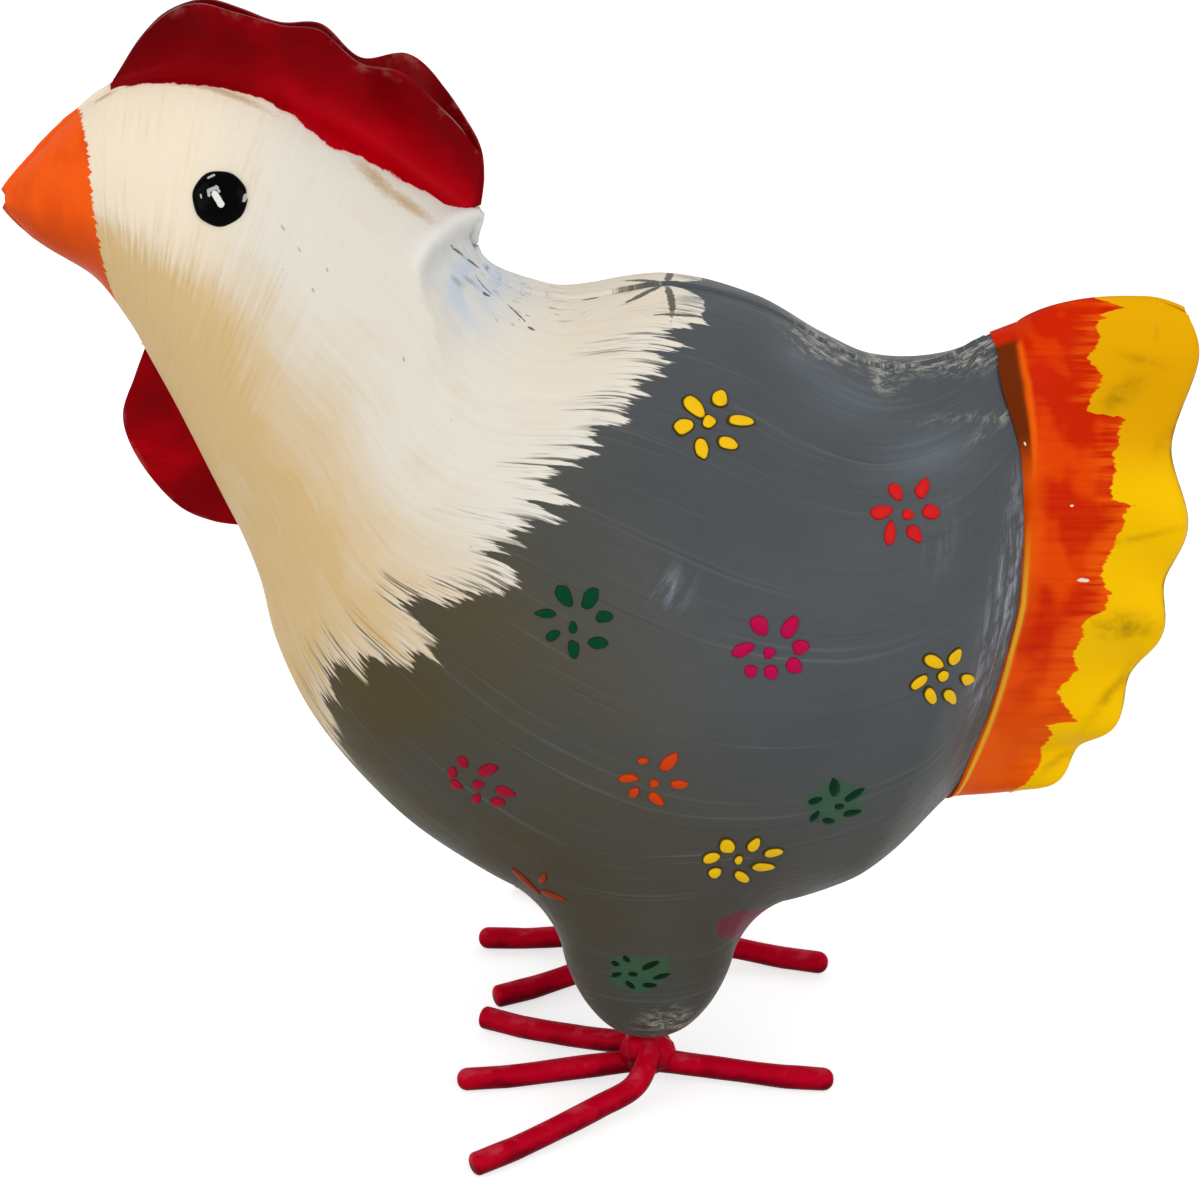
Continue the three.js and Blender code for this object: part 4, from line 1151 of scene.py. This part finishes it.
class HEN_OT_comb(bpy.types.Operator):
    """Makes the two leaves of the comb"""

    bl_idname = "hen.comb"
    bl_label = "Comb leaves"

    def execute(self, context):
        for name, side in SIDES.items():
            def place(u, v, side=side):
                return mirrored(comb_section(u, v), side)
            mesh, shares = grid_mesh(*COMB_GRID, place, flip=side > 0)
            edge = ease(shares[:, 1], 0.93, 1.0)
            points = comb_section(shares[:, 0], shares[:, 1])
            leaf = np.stack([points[:, 0] - SHIFT, points[:, 2], 0 * edge], -1)
            fields = {"rim": edge, "leaf": leaf, "rise": ease(shares[:, 1], 0.3, 1.0)}
            piece = finish_piece(name + "_comb_skin", mesh, coat_of("comb_brushed", comb_coat),
                                 [name + "_comb_leaf"], fields)
            wall(piece, context.scene.hen_sizes.sheet * COMB_SHEET, BEVEL)
        return {"FINISHED"}


class HEN_OT_wattle(bpy.types.Operator):
    """Makes the flat wattle in the throat seam"""

    bl_idname = "hen.wattle"
    bl_label = "Wattle"

    def execute(self, context):
        held = np.linspace(*WATTLE_SPAN, WATTLE_HELD)
        root = seam_point(1, held)
        free = np.array([[x + SHIFT, 0.0, z] for x, z in WATTLE_EDGE])
        edge = spline(np.vstack([root[0], free, root[-1]]), np.linspace(0, 1, WATTLE_GRID[0]))
        inward = seam_point(0, held) - root
        inward /= np.linalg.norm(inward, axis=1, keepdims=True)
        tongue = root + inward * WATTLE_TONGUE

        def read(u, line):
            steps = np.linspace(0, 1, len(line))
            return np.stack([np.interp(u, steps, line[:, k]) for k in range(3)], -1)

        def place(u, v):
            inner = read(u, tongue)
            points = inner + (read(u, edge) - inner) * v[:, None]
            points[:, 1] = -WATTLE_HALF - WATTLE_WAVE * lumps(points, 14.0, 2.0) * ease(v, 0.1, 0.5)
            return points
        mesh, shares = grid_mesh(*WATTLE_GRID, place, flip=True)
        piece = finish_piece("wattle_plate", mesh, coat_of("comb_brushed", comb_coat),
                             ["wattle"], {"rim": ease(shares[:, 1], 0.93, 1.0)})
        wall(piece, context.scene.hen_sizes.sheet, BEVEL)
        return {"FINISHED"}


def tail_section(down, back):
    """Points of a tail panel's outer face: down from its top, and back from the body over its ridge."""
    wide, tall = TAIL_CORNER
    a = np.clip((back - 1 + wide) / wide, 0, 1)
    b = np.clip(1 - down / tall, 0, 1)
    back = np.where(a > 0, 1 - wide + wide * a * np.sqrt(1 - CORNER_CUT * b**2), back)
    down = np.where(b > 0, tall - tall * b * np.sqrt(1 - CORNER_CUT * a**2), down)
    around = TAIL_INSET + (math.pi - 2 * TAIL_INSET) * down
    root = skin(np.full_like(down, TAIL_ROOT), around, lift=-TAIL_TUCK)
    ridge = skin(np.ones_like(down), around)
    ridge[:, 0] += across(RIDGE_BACK, down)
    ridge[:, 1] = np.minimum(ridge[:, 1] - RIDGE_STEP * np.sin(around), CLOSED)
    ridge[:, 2] += RIDGE_RISE * (1 - down) ** 8
    flat = spline(TAIL_EDGE, down)
    edge = np.stack([flat[:, 0] + SHIFT, 0 * down + CLOSED, flat[:, 1]], -1)
    out = np.clip((back - FLANGE) / (1 - FLANGE), 0, 1)
    flute = FLUTE_DEPTH * np.sin(math.pi * FLUTES * down) ** 2
    face = ridge + (edge - ridge) * out[:, None]
    face[:, 1] = CLOSED + (ridge[:, 1] - CLOSED) * (1 - out) ** 1.2 - flute * out**1.5
    face[:, 2] += TAIL_ARCH * np.sin(math.pi * out**0.7) * (1 - down) ** 4
    rise = np.clip(back / FLANGE, 0, 1)[:, None]
    rolled = root + (ridge - root) * np.concatenate([rise, np.sin(rise * math.pi / 2), rise], 1)
    points = np.where((back < FLANGE)[:, None], rolled, face)
    fold = np.sqrt(np.clip(1 - (1 - np.clip(down / TAIL_FOLD, 0, 1)) ** 2, 0, 1))
    hem = np.sqrt(np.clip(1 - np.clip((back - 1 + HEM) / HEM, 0, 1) ** 2 * 0.75, 0, 1))
    points[:, 1] *= np.minimum(fold, hem)
    points[:, 1] = np.minimum(points[:, 1], -0.04)
    return points, out


class HEN_OT_tail(bpy.types.Operator):
    """Makes the two fluted tail panels"""

    bl_idname = "hen.tail"
    bl_label = "Tail panels"

    def execute(self, context):
        for name, side in SIDES.items():
            def place(u, v, side=side):
                return mirrored(tail_section(v, u)[0], side)
            mesh, shares = grid_mesh(*TAIL_GRID, place, flip=side > 0)
            down = shares[:, 1]
            points, out = tail_section(down, shares[:, 0])
            right, up = seen(points)
            ahead = 1 - ease(shares[:, 0], 0.085, 0.118)
            behind = out * TAIL_WIDE
            # A painted highlight on the ridge: a thin line high up and a broader band lower down.
            thin = 0.8 * (1 - ease(behind, 0.1, 0.7)) * ease(down, 0.03, 0.07) * (1 - ease(down, 0.2, 0.52))
            broad = 0.4 * (1 - ease(behind, 0.5, 4.5)) * ease(down, 0.22, 0.36) * (1 - ease(down, 0.46, 0.62))
            line = ease(shares[:, 0], 0.055, 0.065) * (1 - ease(shares[:, 0], 0.1, 0.125))
            fields = {
                "flow": np.stack([right, up, 0 * out], -1),
                "tongue": right - across(FLAME_EDGE, up) + 16 * ease(down, 0.985, 0.995),
                "ridge": np.maximum(thin, broad),
                "crest": ahead * (1 - ease(down, 0.03, 0.05)),
                "flange": ahead * (1 - ease(down, 0.24, 0.34)) * ease(down, 0.03, 0.05),
                # The lip field places that painted highlight on the front edge.
                "lip": line * ease(down, 0.36, 0.5),
                "fold": blots(right, up, TAIL_FOLD_SHADES),
                "rim": ease(out, 0.98, 0.997),
            }
            piece = finish_piece(name + "_tail_skin", mesh, coat_of("tail_brushed", tail_coat),
                                 [name + "_tail_panel"], fields)
            wall(piece, context.scene.hen_sizes.sheet, BEVEL)
        return {"FINISHED"}


def skin_tree():
    """The left half's skin as a tree for finding points on it, in millimetres."""
    along, around = np.meshgrid(np.linspace(0, 1, 200), np.linspace(0, math.pi, 120), indexing="ij")
    points = skin(along, around).reshape(-1, 3)
    corner = np.arange(199 * 120).reshape(199, 120)[:, :-1].ravel()
    faces = np.stack([corner, corner + 1, corner + 121, corner + 120], 1)
    return BVHTree.FromPolygons([Vector(p) for p in points], faces.tolist())


def leg_rows(turns, rows):
    """Points of the left leg cup, turn by turn from its tip up and out onto the belly."""
    tree = skin_tree()
    axis = np.array([LEG_X + SHIFT, -LEG_Y, LEG_TIP])
    profile = spline(LEG_PROFILE, np.linspace(0, 1, LEG_STEPS))
    lines = []
    for turn in range(turns):
        angle = 2 * math.pi * turn / turns
        aim = np.array([math.cos(angle), LEG_SLIM * math.sin(angle)])
        line = axis + np.c_[profile[:, :1] * aim, profile[:, 1]]
        lines.append(leg_line(tree, line, Vector((aim[0], aim[1], 0.0)), rows))
    return np.array(lines)


def leg_line(tree, line, aim, rows):
    """One line up the leg cup, ending in a fillet onto the skin."""
    meet = len(line) - 1
    for index, point in enumerate(line):
        near, normal, _, _ = tree.find_nearest(Vector(point))
        if index > LEG_CUP and (Vector(point) - near).dot(normal) < 0:
            meet = index
            break
    lengths = np.r_[0, np.cumsum(np.linalg.norm(np.diff(line, axis=0), axis=1))]
    start = int(np.searchsorted(lengths, max(lengths[meet] - LEG_FILLET, lengths[LEG_CUP])))
    near, normal, _, _ = tree.find_nearest(Vector(line[meet]))
    away = (aim - normal * aim.dot(normal)).normalized()
    landed, landed_normal, _, _ = tree.find_nearest(near + away * LEG_FILLET)
    away = (away - landed_normal * away.dot(landed_normal)).normalized()
    land = np.array(landed - landed_normal * LEG_SINK)
    rise = line[start] - line[start - 1]
    rise /= np.linalg.norm(rise)
    reach = 0.6 * LEG_FILLET
    leave = line[start] + rise * reach
    arrive = land - np.array(away) * reach
    straight = int(rows * LEG_STRAIGHT)
    below = np.linspace(0, lengths[start], straight)
    lower = np.stack([np.interp(below, lengths, line[:, k]) for k in range(3)], -1)
    t = np.linspace(0, 1, rows + 1 - straight + 1)[1:, None]
    bend = line[start] * (1 - t) ** 3 + 3 * leave * t * (1 - t) ** 2
    bend = bend + 3 * arrive * t**2 * (1 - t) + land * t**3
    return np.vstack([lower, bend])


class HEN_OT_legs(bpy.types.Operator):
    """Makes the two leg cups, filleted into the belly"""

    bl_idname = "hen.legs"
    bl_label = "Leg cups"

    def execute(self, context):
        turns, rows = LEG_GRID
        lines = leg_rows(turns, rows)
        for name, side in SIDES.items():
            def place(u, v, side=side):
                turn = np.rint(u * turns).astype(int) % turns
                row = np.rint(v * rows).astype(int)
                return mirrored(lines[turn, row], side)
            mesh, shares = grid_mesh(turns, rows, place, flip=side > 0)
            turn = np.rint(shares[:, 0] * turns).astype(int) % turns
            points = lines[turn, np.rint(shares[:, 1] * rows).astype(int)]
            away = np.full(len(points), BARE)
            lines_of = np.stack([points[:, 0] + LEG_LINES, points[:, 2], 0 * away], -1)
            fields = {
                "flow": lines_of, "spot": lines_of,
                "feather": away, "ragged": 0 * away, "beak": -away, "crown": -away, **patch_fields(points),
            }
            piece = finish_piece(name + "_leg_cup", mesh, coat_of("hen_paint", hen_coat),
                                 [name + "_leg"], fields, weld=WELD)
            wall(piece, context.scene.hen_sizes.sheet * LEG_SHEET)
        return {"FINISHED"}


def toe(reach, turn):
    """Points of a straight toe from the leg axis outwards, along x and turned in plan."""
    points = [(u * reach, -TOE_LEAN * u * u, ROD_LOW + lift * ARCH_RISE) for u, lift in TOE_LIFT]
    c, s = math.cos(turn), math.sin(turn)
    return [(x * c - y * s, x * s + y * c, z) for x, y, z in points]


def side_toe(sign, spread, elbow, share=1.0):
    """Points of the cross rod from the leg axis to the tip of a side toe."""
    def branch(u, z):
        return (-u * share * SIDE_TOE, sign * (elbow + u * share * (spread - elbow)), z)
    first = (0.0, sign * 0.55 * elbow, BRIDGE_HUB - BRIDGE_DROP)
    lifts = [branch(u, ROD_LOW + lift * ARCH_RISE) for u, lift in TOE_LIFT]
    return [first, branch(0.08, ROD_HUB + ELBOW_RISE), *lifts]


class HEN_OT_feet(bpy.types.Operator):
    """Makes the feet of bent rod and their welds"""

    bl_idname = "hen.feet"
    bl_label = "Feet"

    def execute(self, context):
        for name, side in SIDES.items():
            turned = RIGHT_FOOT_TURN if side > 0 else 0.0
            back = RIGHT_FOOT_BACK if side > 0 else 0.0
            hub = np.array([LEG_X + SHIFT + back, side * LEG_Y, 0.0])
            turn = -side * math.radians(turned)
            long_rod = toe(-MIDDLE_TOE, turn)[::-1] + [(0.0, 0.0, ROD_HUB)] + toe(REAR_TOE, turn)
            outer = side_toe(side, OUTER_SPREAD, OUTER_ELBOW, RIGHT_OUTER_SHARE if side > 0 else 1.0)
            inner = side_toe(-side, INNER_SPREAD, INNER_ELBOW)
            cross = outer[::-1] + [(0.0, 0.0, BRIDGE_HUB)] + inner
            for kind, points, bulge in (("long_rod", long_rod, 0.95), ("cross_rod", cross, 0.45)):
                self.rod(f"{name}_foot_{kind}", np.array(points) + hub, bulge)
            self.weld(name, hub)
        return {"FINISHED"}

    def rod(self, node, points, bulge):
        path = spline(points, np.linspace(0, 1, ROD_STEPS))
        path[:, 2] = np.maximum(path[:, 2], ROD_RADIUS + FLOOR_GAP)
        radii = ROD_RADIUS * (1 + ROD_UNEVEN * lumps(path, 7.0, 1.0))

        # Over: how far round the rod faces up, for its painted shade and highlight.
        def fields(step, turn):
            return {"over": 0.5 + 0.5 * np.sin(turn)}
        tube_piece(node + "_bar", path, radii, ROD_SIDES, coat_of("rod_gloss", rod_coat),
                   [node], fields, bulge)

    def weld(self, name, hub):
        made = bmesh.new()
        bmesh.ops.create_icosphere(made, subdivisions=5, radius=1.0)
        middle = hub + np.array([0.0, 0.0, (ROD_HUB + BRIDGE_HUB) / 2])
        # Over for the weld lump: up its height, for painted shade and highlight.
        over = np.array([0.5 + 0.5 * vertex.co.z for vertex in made.verts])
        for vertex in made.verts:
            swell = 1 + WELD_UNEVEN * noise.noise(vertex.co * 2.2 + Vector((hub[1], 0, 0)))
            point = vertex.co * Vector(FOOT_WELD) * swell + Vector(middle)
            point.z = min(point.z, WELD_TOP)
            vertex.co = point * MM
        finish_piece(name + "_foot_bead", made, coat_of("rod_gloss", rod_coat),
                     [name + "_foot_weld"], {"over": over})


class HEN_OT_eyes(bpy.types.Operator):
    """Makes the two domed eyes"""

    bl_idname = "hen.eyes"
    bl_label = "Eyes"

    def execute(self, context):
        along, around = (np.array([v]) for v in EYE_PLACE)
        centre = Vector(skin(along, around)[0])
        out = Vector(skin_out(along, around)[0])
        level = Vector((1, 0, 0))
        level = (level - out * level.dot(out)).normalized()
        up = level.cross(out)
        if up.z < 0:
            up.negate()
        for name, side in SIDES.items():
            def place(u, v, side=side):
                angle = u * 2 * math.pi
                rim = 1 + 0.012 * np.sin(3 * angle + 1) + 0.012 * np.sin(7 * angle)
                rim = rim - 0.05 * np.exp(-((u - 0.02) / 0.03) ** 2)
                reach = EYE_RADIUS * np.sin(v * math.pi / 2) * rim
                rise = EYE_RISE * np.cos(v * math.pi / 2) ** 0.8 - EYE_SUNK
                sheet = np.outer(reach * np.cos(angle), level) + np.outer(reach * np.sin(angle), up)
                return mirrored(np.array(centre) + sheet + np.outer(rise, out), side)
            mesh, shares = grid_mesh(*EYE_GRID, place, flip=side > 0)
            angle = shares[:, 0] * 2 * math.pi
            reach = EYE_RADIUS * np.sin(shares[:, 1] * math.pi / 2)
            disc = np.stack([reach * np.cos(angle), reach * np.sin(angle), 0 * reach], -1)
            finish_piece(name + "_eye_dome", mesh, coat_of("eye_gloss", eye_coat),
                         [name + "_eye"], {"disc": disc}, weld=WELD)
        return {"FINISHED"}


def dab_tree(pieces):
    """The outer faces of pieces as one tree for placing dabs on them, in metres."""
    joined = bmesh.new()
    for piece in pieces:
        joined.from_mesh(piece.data)
    tree = BVHTree.FromBMesh(joined)
    joined.free()
    return tree


class HEN_OT_flowers(bpy.types.Operator):
    """Makes the dabbed flowers on both sides"""

    bl_idname = "hen.flowers"
    bl_label = "Flowers"

    def execute(self, context):
        tree = dab_tree([bpy.data.objects["left_body_skin"], bpy.data.objects["left_leg_cup"]])
        for count, (x, y, colour, petals) in enumerate(FLOWERS, 1):
            for name, side in SIDES.items():
                self.flower(f"{name}_flower_{count:02d}", tree, side, (x, y), colour, petals)
        return {"FINISHED"}

    def flower(self, name, tree, side, centre, colour, petals):
        """Petals drawn in the view's plane and laid on the skin, mirrored for the right side."""
        eye, right, up, forward = view_axes()
        height = bpy.context.scene.hen_sizes.petal_height
        grow = OUTLINED if colour == "yellow" else 1.0
        made = bmesh.new()
        rim = made.verts.layers.float.new("edge")
        for across_it, up_it, degrees, length, width in petals:
            angle = math.radians(degrees)
            aim = np.array([math.cos(angle), math.sin(angle)])
            wide = np.array([-aim[1], aim[0]])
            middle = np.array([centre[0] + across_it, centre[1] + up_it])
            turns, rings = DAB_SEGMENTS
            dab = bmesh.ops.create_uvsphere(made, u_segments=turns, v_segments=rings, radius=1.0)
            for vertex in dab["verts"]:
                x, y, z = vertex.co
                vertex[rim] = math.hypot(x, y)
                wobble = 1 + DAB_UNEVEN * noise.noise(Vector((x * 1.3, y * 1.3, degrees + middle[0] * 0.7)))
                ahead = x * grow * length / 2 * wobble
                aside = y * grow * width / 2 * (1 - DAB_TAPER * x) * wobble
                spot = middle + aim * ahead + wide * aside
                sight = right * spot[0] + up * spot[1] + forward * VIEW_DISTANCE
                point, normal, _, _ = tree.ray_cast(Vector(eye * MM), Vector(sight).normalized())
                if point is None:
                    point, normal, _, _ = tree.find_nearest(Vector((eye + sight) * MM))
                vertex.co = point + normal * (z * height)
        if side > 0:
            bmesh.ops.scale(made, vec=(1.0, -1.0, 1.0), verts=made.verts)
        bmesh.ops.recalc_face_normals(made, faces=made.faces)
        finish_piece(name, made, coat_of("dab_" + colour, dab_coat, colour), [])


class HEN_OT_stage(bpy.types.Operator):
    """Makes the floor, the lights and the camera"""

    bl_idname = "hen.stage"
    bl_label = "Stage"

    def execute(self, context):
        stage = context.scene.hen_stage
        self.floor(stage)
        self.world(stage)
        for (name, place, size), power in zip(LAMPS, (stage.key_power, stage.fill_power, stage.back_power)):
            self.lamp(name, place, size, power)
        self.camera(stage)
        context.scene.view_settings.view_transform = "Standard"
        return {"FINISHED"}

    def seen_rays(self, tree):
        """1 for what the camera sees, straight or in a gloss or through a glass, and 0 for other light."""
        path = tree.nodes.new("ShaderNodeLightPath")
        found = path.outputs["Is Camera Ray"]
        for kind in ("Is Glossy Ray", "Is Transmission Ray"):
            either = tree.nodes.new("ShaderNodeMath")
            either.operation = "MAXIMUM"
            tree.links.new(found, either.inputs[0])
            tree.links.new(path.outputs[kind], either.inputs[1])
            found = either.outputs[0]
        return found

    def floor(self, stage):
        made = bmesh.new()
        bmesh.ops.create_grid(made, x_segments=8, y_segments=8, size=FLOOR_HALF)
        mesh = bpy.data.meshes.new("floor")
        made.to_mesh(mesh)
        made.free()
        floor = bpy.data.objects.new("floor", mesh)
        bpy.context.scene.collection.objects.link(floor)
        coat = Coat("floor_white", Roughness=0.9, Base_Color=FLOOR_TONE, Specular_IOR_Level=0.0)
        coat.shade("Emission Color", WHITE)
        coat.shade("Emission Strength", coat.times(self.seen_rays(coat.tree), stage.floor_glow))
        mesh.materials.append(coat.material)

    def world(self, stage):
        world = bpy.data.worlds.new("studio")
        world.use_nodes = True
        bpy.context.scene.world = world
        tree = world.node_tree
        light = tree.nodes["Background"]
        light.inputs["Color"].default_value = WHITE
        level = tree.nodes.new("ShaderNodeMapRange")
        tree.links.new(self.seen_rays(tree), level.inputs["Value"])
        level.inputs["To Min"].default_value = stage.sky_strength
        level.inputs["To Max"].default_value = 1.0
        tree.links.new(level.outputs["Result"], light.inputs["Strength"])

    def lamp(self, name, place, size, power):
        data = bpy.data.lights.new(name, "AREA")
        data.shape = "DISK"
        data.size = size
        data.energy = power
        lamp = bpy.data.objects.new(name, data)
        bpy.context.scene.collection.objects.link(lamp)
        lamp.location = place
        lamp.rotation_mode = "QUATERNION"
        lamp.rotation_quaternion = (Vector(LIT_POINT) - lamp.location).to_track_quat("-Z", "Y")

    def camera(self, stage):
        data = bpy.data.cameras.new("Camera")
        data.lens = stage.lens
        data.sensor_width = 36.0
        camera = bpy.data.objects.new("Camera", data)
        bpy.context.scene.collection.objects.link(camera)
        target = Vector((SHIFT * MM, 0.0, stage.aim_height))
        back = Vector((0.0, -math.cos(stage.tilt), math.sin(stage.tilt)))
        camera.location = target + back * stage.distance
        camera.rotation_mode = "QUATERNION"
        camera.rotation_quaternion = (-back).to_track_quat("-Z", "Y")
        bpy.context.scene.camera = camera


def length(name, description, default):
    return FloatProperty(name=name, description=description, default=default, unit="LENGTH", precision=5)


def colour(name, description, *display):
    return FloatVectorProperty(name=name, description=description, default=[c / 255 for c in display], size=3,
                               min=0.0, max=1.0, subtype="COLOR_GAMMA")


class HenSizes(bpy.types.PropertyGroup):
    """Sizes that can be changed without moving the pieces off the frame"""

    sheet: length("Sheet", "Thickness of the iron sheet", 0.001)
    seam_bead: length("Seam bead", "Radius of the weld bead on the seam", 0.0011)
    crease_depth: length("Crease", "Depth of the hollow at the nape", 0.003)
    beaten_depth: length("Beaten", "Depth of the hand-beaten unevenness", 0.00035)
    petal_height: length("Petal", "Height of a dab of flower paint", 0.00055)


class HenColours(bpy.types.PropertyGroup):
    """Paint colours as they look on a screen"""

    cream: colour("Cream", "Head and neck", 229, 223, 210)
    warm_cream: colour("Warm cream", "Throat and breast", 220, 189, 137)
    pale: colour("Pale cream", "Thick strokes of the white", 237, 232, 222)
    tan: colour("Tan", "Ground under the white", 196, 168, 124)
    face_cream: colour("Face cream", "White of the face", 249, 231, 203)
    # Nape lip: a painted highlight on the fold.
    lip: colour("Nape lip", "Thick white along the fold at the nape", 242, 242, 238)
    hollow: colour("Nape hollow", "Shaded white inside the fold", 196, 200, 204)
    rosy_cream: colour("Rosy cream", "White on the back", 236, 220, 196)
    stain: colour("Stain", "Brown smears in the white", 196, 162, 118)
    smudge: colour("Smudge", "Grey smudges on the white", 150, 154, 146)
    speck: colour("Speck", "Small brown specks in the white", 168, 138, 100)
    # Cool white: a bluish painted reflection behind the nape.
    sky_sheen_white: colour("Cool white", "Bluish white behind the nape", 198, 208, 221)
    crack: colour("Crack", "Bare iron in the cracks at the nape", 66, 68, 68)
    slate: colour("Slate", "Body", 84, 88, 91)
    deep_slate: colour("Deep slate", "Clouds in the grey", 74, 78, 79)
    brown_slate: colour("Brown slate", "Grey towards the breast", 84, 74, 46)
    # Low slate: darker grey low down, partly painted shade.
    low_slate_shade: colour("Low slate", "Grey of the legs", 71, 67, 58)
    pale_slate: colour("Pale slate", "Pale brush lines", 132, 136, 138)
    dark_slate: colour("Dark slate", "Dark brush lines", 56, 58, 58)
    # Scuff: pale scratches, partly a painted highlight on the top of the back.
    scuff_and_highlight: colour("Scuff", "Pale scratches", 196, 194, 180)
    # Streaks: brushed paint and partly a painted highlight, bluish like a reflection of the sky.
    streak: colour("Streaks", "Brushed streaks beside the tail", 158, 167, 180)
    # Sheen: a bluish painted highlight on the shoulder.
    sheen_highlight: colour("Sheen", "Bluish rubbed patches", 112, 122, 132)
    tack: colour("Tack", "Weld marks on the back", 80, 76, 60)
    wash_green: colour("Green wash", "Thin green under a flower", 44, 96, 60)
    wash_pink: colour("Pink wash", "Thin pink under a flower", 118, 32, 52)
    beak_orange: colour("Beak", "Beak", 250, 94, 20)
    beak_deep: colour("Deep beak", "Darker clouds on the beak", 236, 84, 16)
    # Low beak: painted shade on the lower half of the beak.
    beak_low_shade: colour("Low beak", "Lower half of the beak", 190, 66, 14)
    comb_red: colour("Comb", "Comb and wattle", 128, 0, 6)
    comb_dark: colour("Dark comb", "Shaded upper part of the comb", 92, 0, 4)
    comb_bright: colour("Bright comb", "Brighter red of the comb", 184, 0, 16)
    # Comb rub: rubbed edges and partly a painted highlight along the rims.
    comb_rub_and_highlight: colour("Comb rub", "Rubbed edges of the comb", 206, 130, 120)
    bleed: colour("Bleed", "Pink along the comb's paint edge", 226, 176, 172)
    tail_orange: colour("Tail orange", "Tail behind its ridge", 238, 74, 2)
    tail_red: colour("Tail red", "Redder clouds on the tail", 208, 36, 0)
    # Tail light: paler orange paint, a painted highlight on the ridge and painted light low down.
    tail_pale_and_highlight: colour("Tail light", "Ridge of the tail", 248, 104, 8)
    tail_flange: colour("Tail flange", "Shaded flange in front of the ridge", 112, 42, 6)
    # Tail lip: a painted highlight on the lit front edge.
    tail_lip_highlight: colour("Tail lip", "Front edge of the tail's lower half", 255, 188, 52)
    tail_chip: colour("Tail chip", "Chips in the orange", 246, 232, 214)
    tail_yellow: colour("Tail yellow", "Rear edge of the tail", 236, 172, 0)
    # Tail sunny: brighter yellow low down, painted light.
    tail_lit_yellow: colour("Tail sunny", "Lower half of the yellow", 255, 200, 0)
    tail_gold: colour("Tail gold", "Darker lines in the yellow", 232, 174, 0)
    # Tail grime: dirt and painted shade in the flutes.
    tail_grime_and_shade: colour("Tail grime", "Dirt in the flutes", 140, 104, 8)
    tail_rim: colour("Tail rim", "Cut edge of the tail", 104, 74, 12)
    rod_crimson: colour("Crimson", "Feet", 190, 2, 34)
    # Dark crimson: painted shade under the rods.
    rod_shade: colour("Dark crimson", "Darker places on the feet", 110, 0, 20)
    # Rubbed crimson: a painted highlight along the tops of the rods.
    rod_highlight: colour("Rubbed crimson", "Rubbed places on the feet", 222, 74, 96)
    eye_black: colour("Eye", "Eye", 2, 2, 2)
    # Eye mark: the eye's own white mark and painted glints.
    eye_mark_and_glint: colour("Eye mark", "White mark in the eye", 232, 232, 228)
    # Outline: dark paint round the dabs and partly a painted shadow.
    outline: colour("Outline", "Dark paint round the dabs", 36, 30, 18)
    yellow: colour("Yellow", "Flower", 244, 194, 20)
    red: colour("Red", "Flower", 214, 30, 32)
    green: colour("Green", "Flower", 2, 66, 38)
    pink: colour("Pink", "Flower", 186, 10, 74)
    crimson: colour("Crimson flower", "Flower", 160, 18, 46)
    orange: colour("Orange", "Flower", 206, 66, 16)
    rust: colour("Rust", "Flower", 146, 52, 26)
    pine: colour("Pine", "Flower", 0, 46, 28)
    bottle: colour("Bottle", "Flower", 6, 32, 22)


class HenStage(bpy.types.PropertyGroup):
    """Light and camera"""

    sky_strength: FloatProperty(name="Sky", description="Light from all round", default=0.69, min=0.0)
    key_power: FloatProperty(name="Key", description="Main lamp from the right", default=4.6, unit="POWER")
    fill_power: FloatProperty(name="Fill", description="Lamp from the left", default=3.6, unit="POWER")
    back_power: FloatProperty(name="Back", description="Lamp from behind", default=1.0, unit="POWER")
    floor_glow: FloatProperty(name="Floor glow", description="Whiteness added to the floor", default=0.64)
    lens: FloatProperty(name="Lens", description="Focal length", default=91.5, unit="CAMERA")
    distance: length("Distance", "From the camera to the hen", VIEW_DISTANCE * MM)
    aim_height: length("Aim", "Height that the camera looks at", VIEW_HEIGHT * MM)
    tilt: FloatProperty(name="Tilt", description="How far the camera looks down", default=VIEW_TILT,
                        subtype="ANGLE")


OPERATORS = (
    HEN_OT_body, HEN_OT_legs, HEN_OT_seams, HEN_OT_comb, HEN_OT_wattle, HEN_OT_tail, HEN_OT_feet, HEN_OT_eyes,
    HEN_OT_flowers, HEN_OT_stage,
)


class HEN_PT_panel(bpy.types.Panel):
    """Lists the hen's pieces in the sidebar"""

    bl_idname = "HEN_PT_panel"
    bl_label = "Painted Iron Hen"
    bl_space_type = "VIEW_3D"
    bl_region_type = "UI"
    bl_category = "Hen"

    def draw(self, context):
        for operator in OPERATORS:
            self.layout.operator(operator.bl_idname)
        for group in (context.scene.hen_sizes, context.scene.hen_colours, context.scene.hen_stage):
            for name in group.__annotations__:
                self.layout.prop(group, name)


CLASSES = (HenSizes, HenColours, HenStage, *OPERATORS, HEN_PT_panel)


def register():
    for made in CLASSES:
        bpy.utils.register_class(made)
    bpy.types.Scene.hen_sizes = PointerProperty(type=HenSizes)
    bpy.types.Scene.hen_colours = PointerProperty(type=HenColours)
    bpy.types.Scene.hen_stage = PointerProperty(type=HenStage)


def unregister():
    del bpy.types.Scene.hen_stage
    del bpy.types.Scene.hen_colours
    del bpy.types.Scene.hen_sizes
    for made in reversed(CLASSES):
        bpy.utils.unregister_class(made)


def main():
    register()
    for operator in OPERATORS:
        group, name = operator.bl_idname.split(".")
        getattr(getattr(bpy.ops, group), name)()


if __name__ == "__main__":
    main()
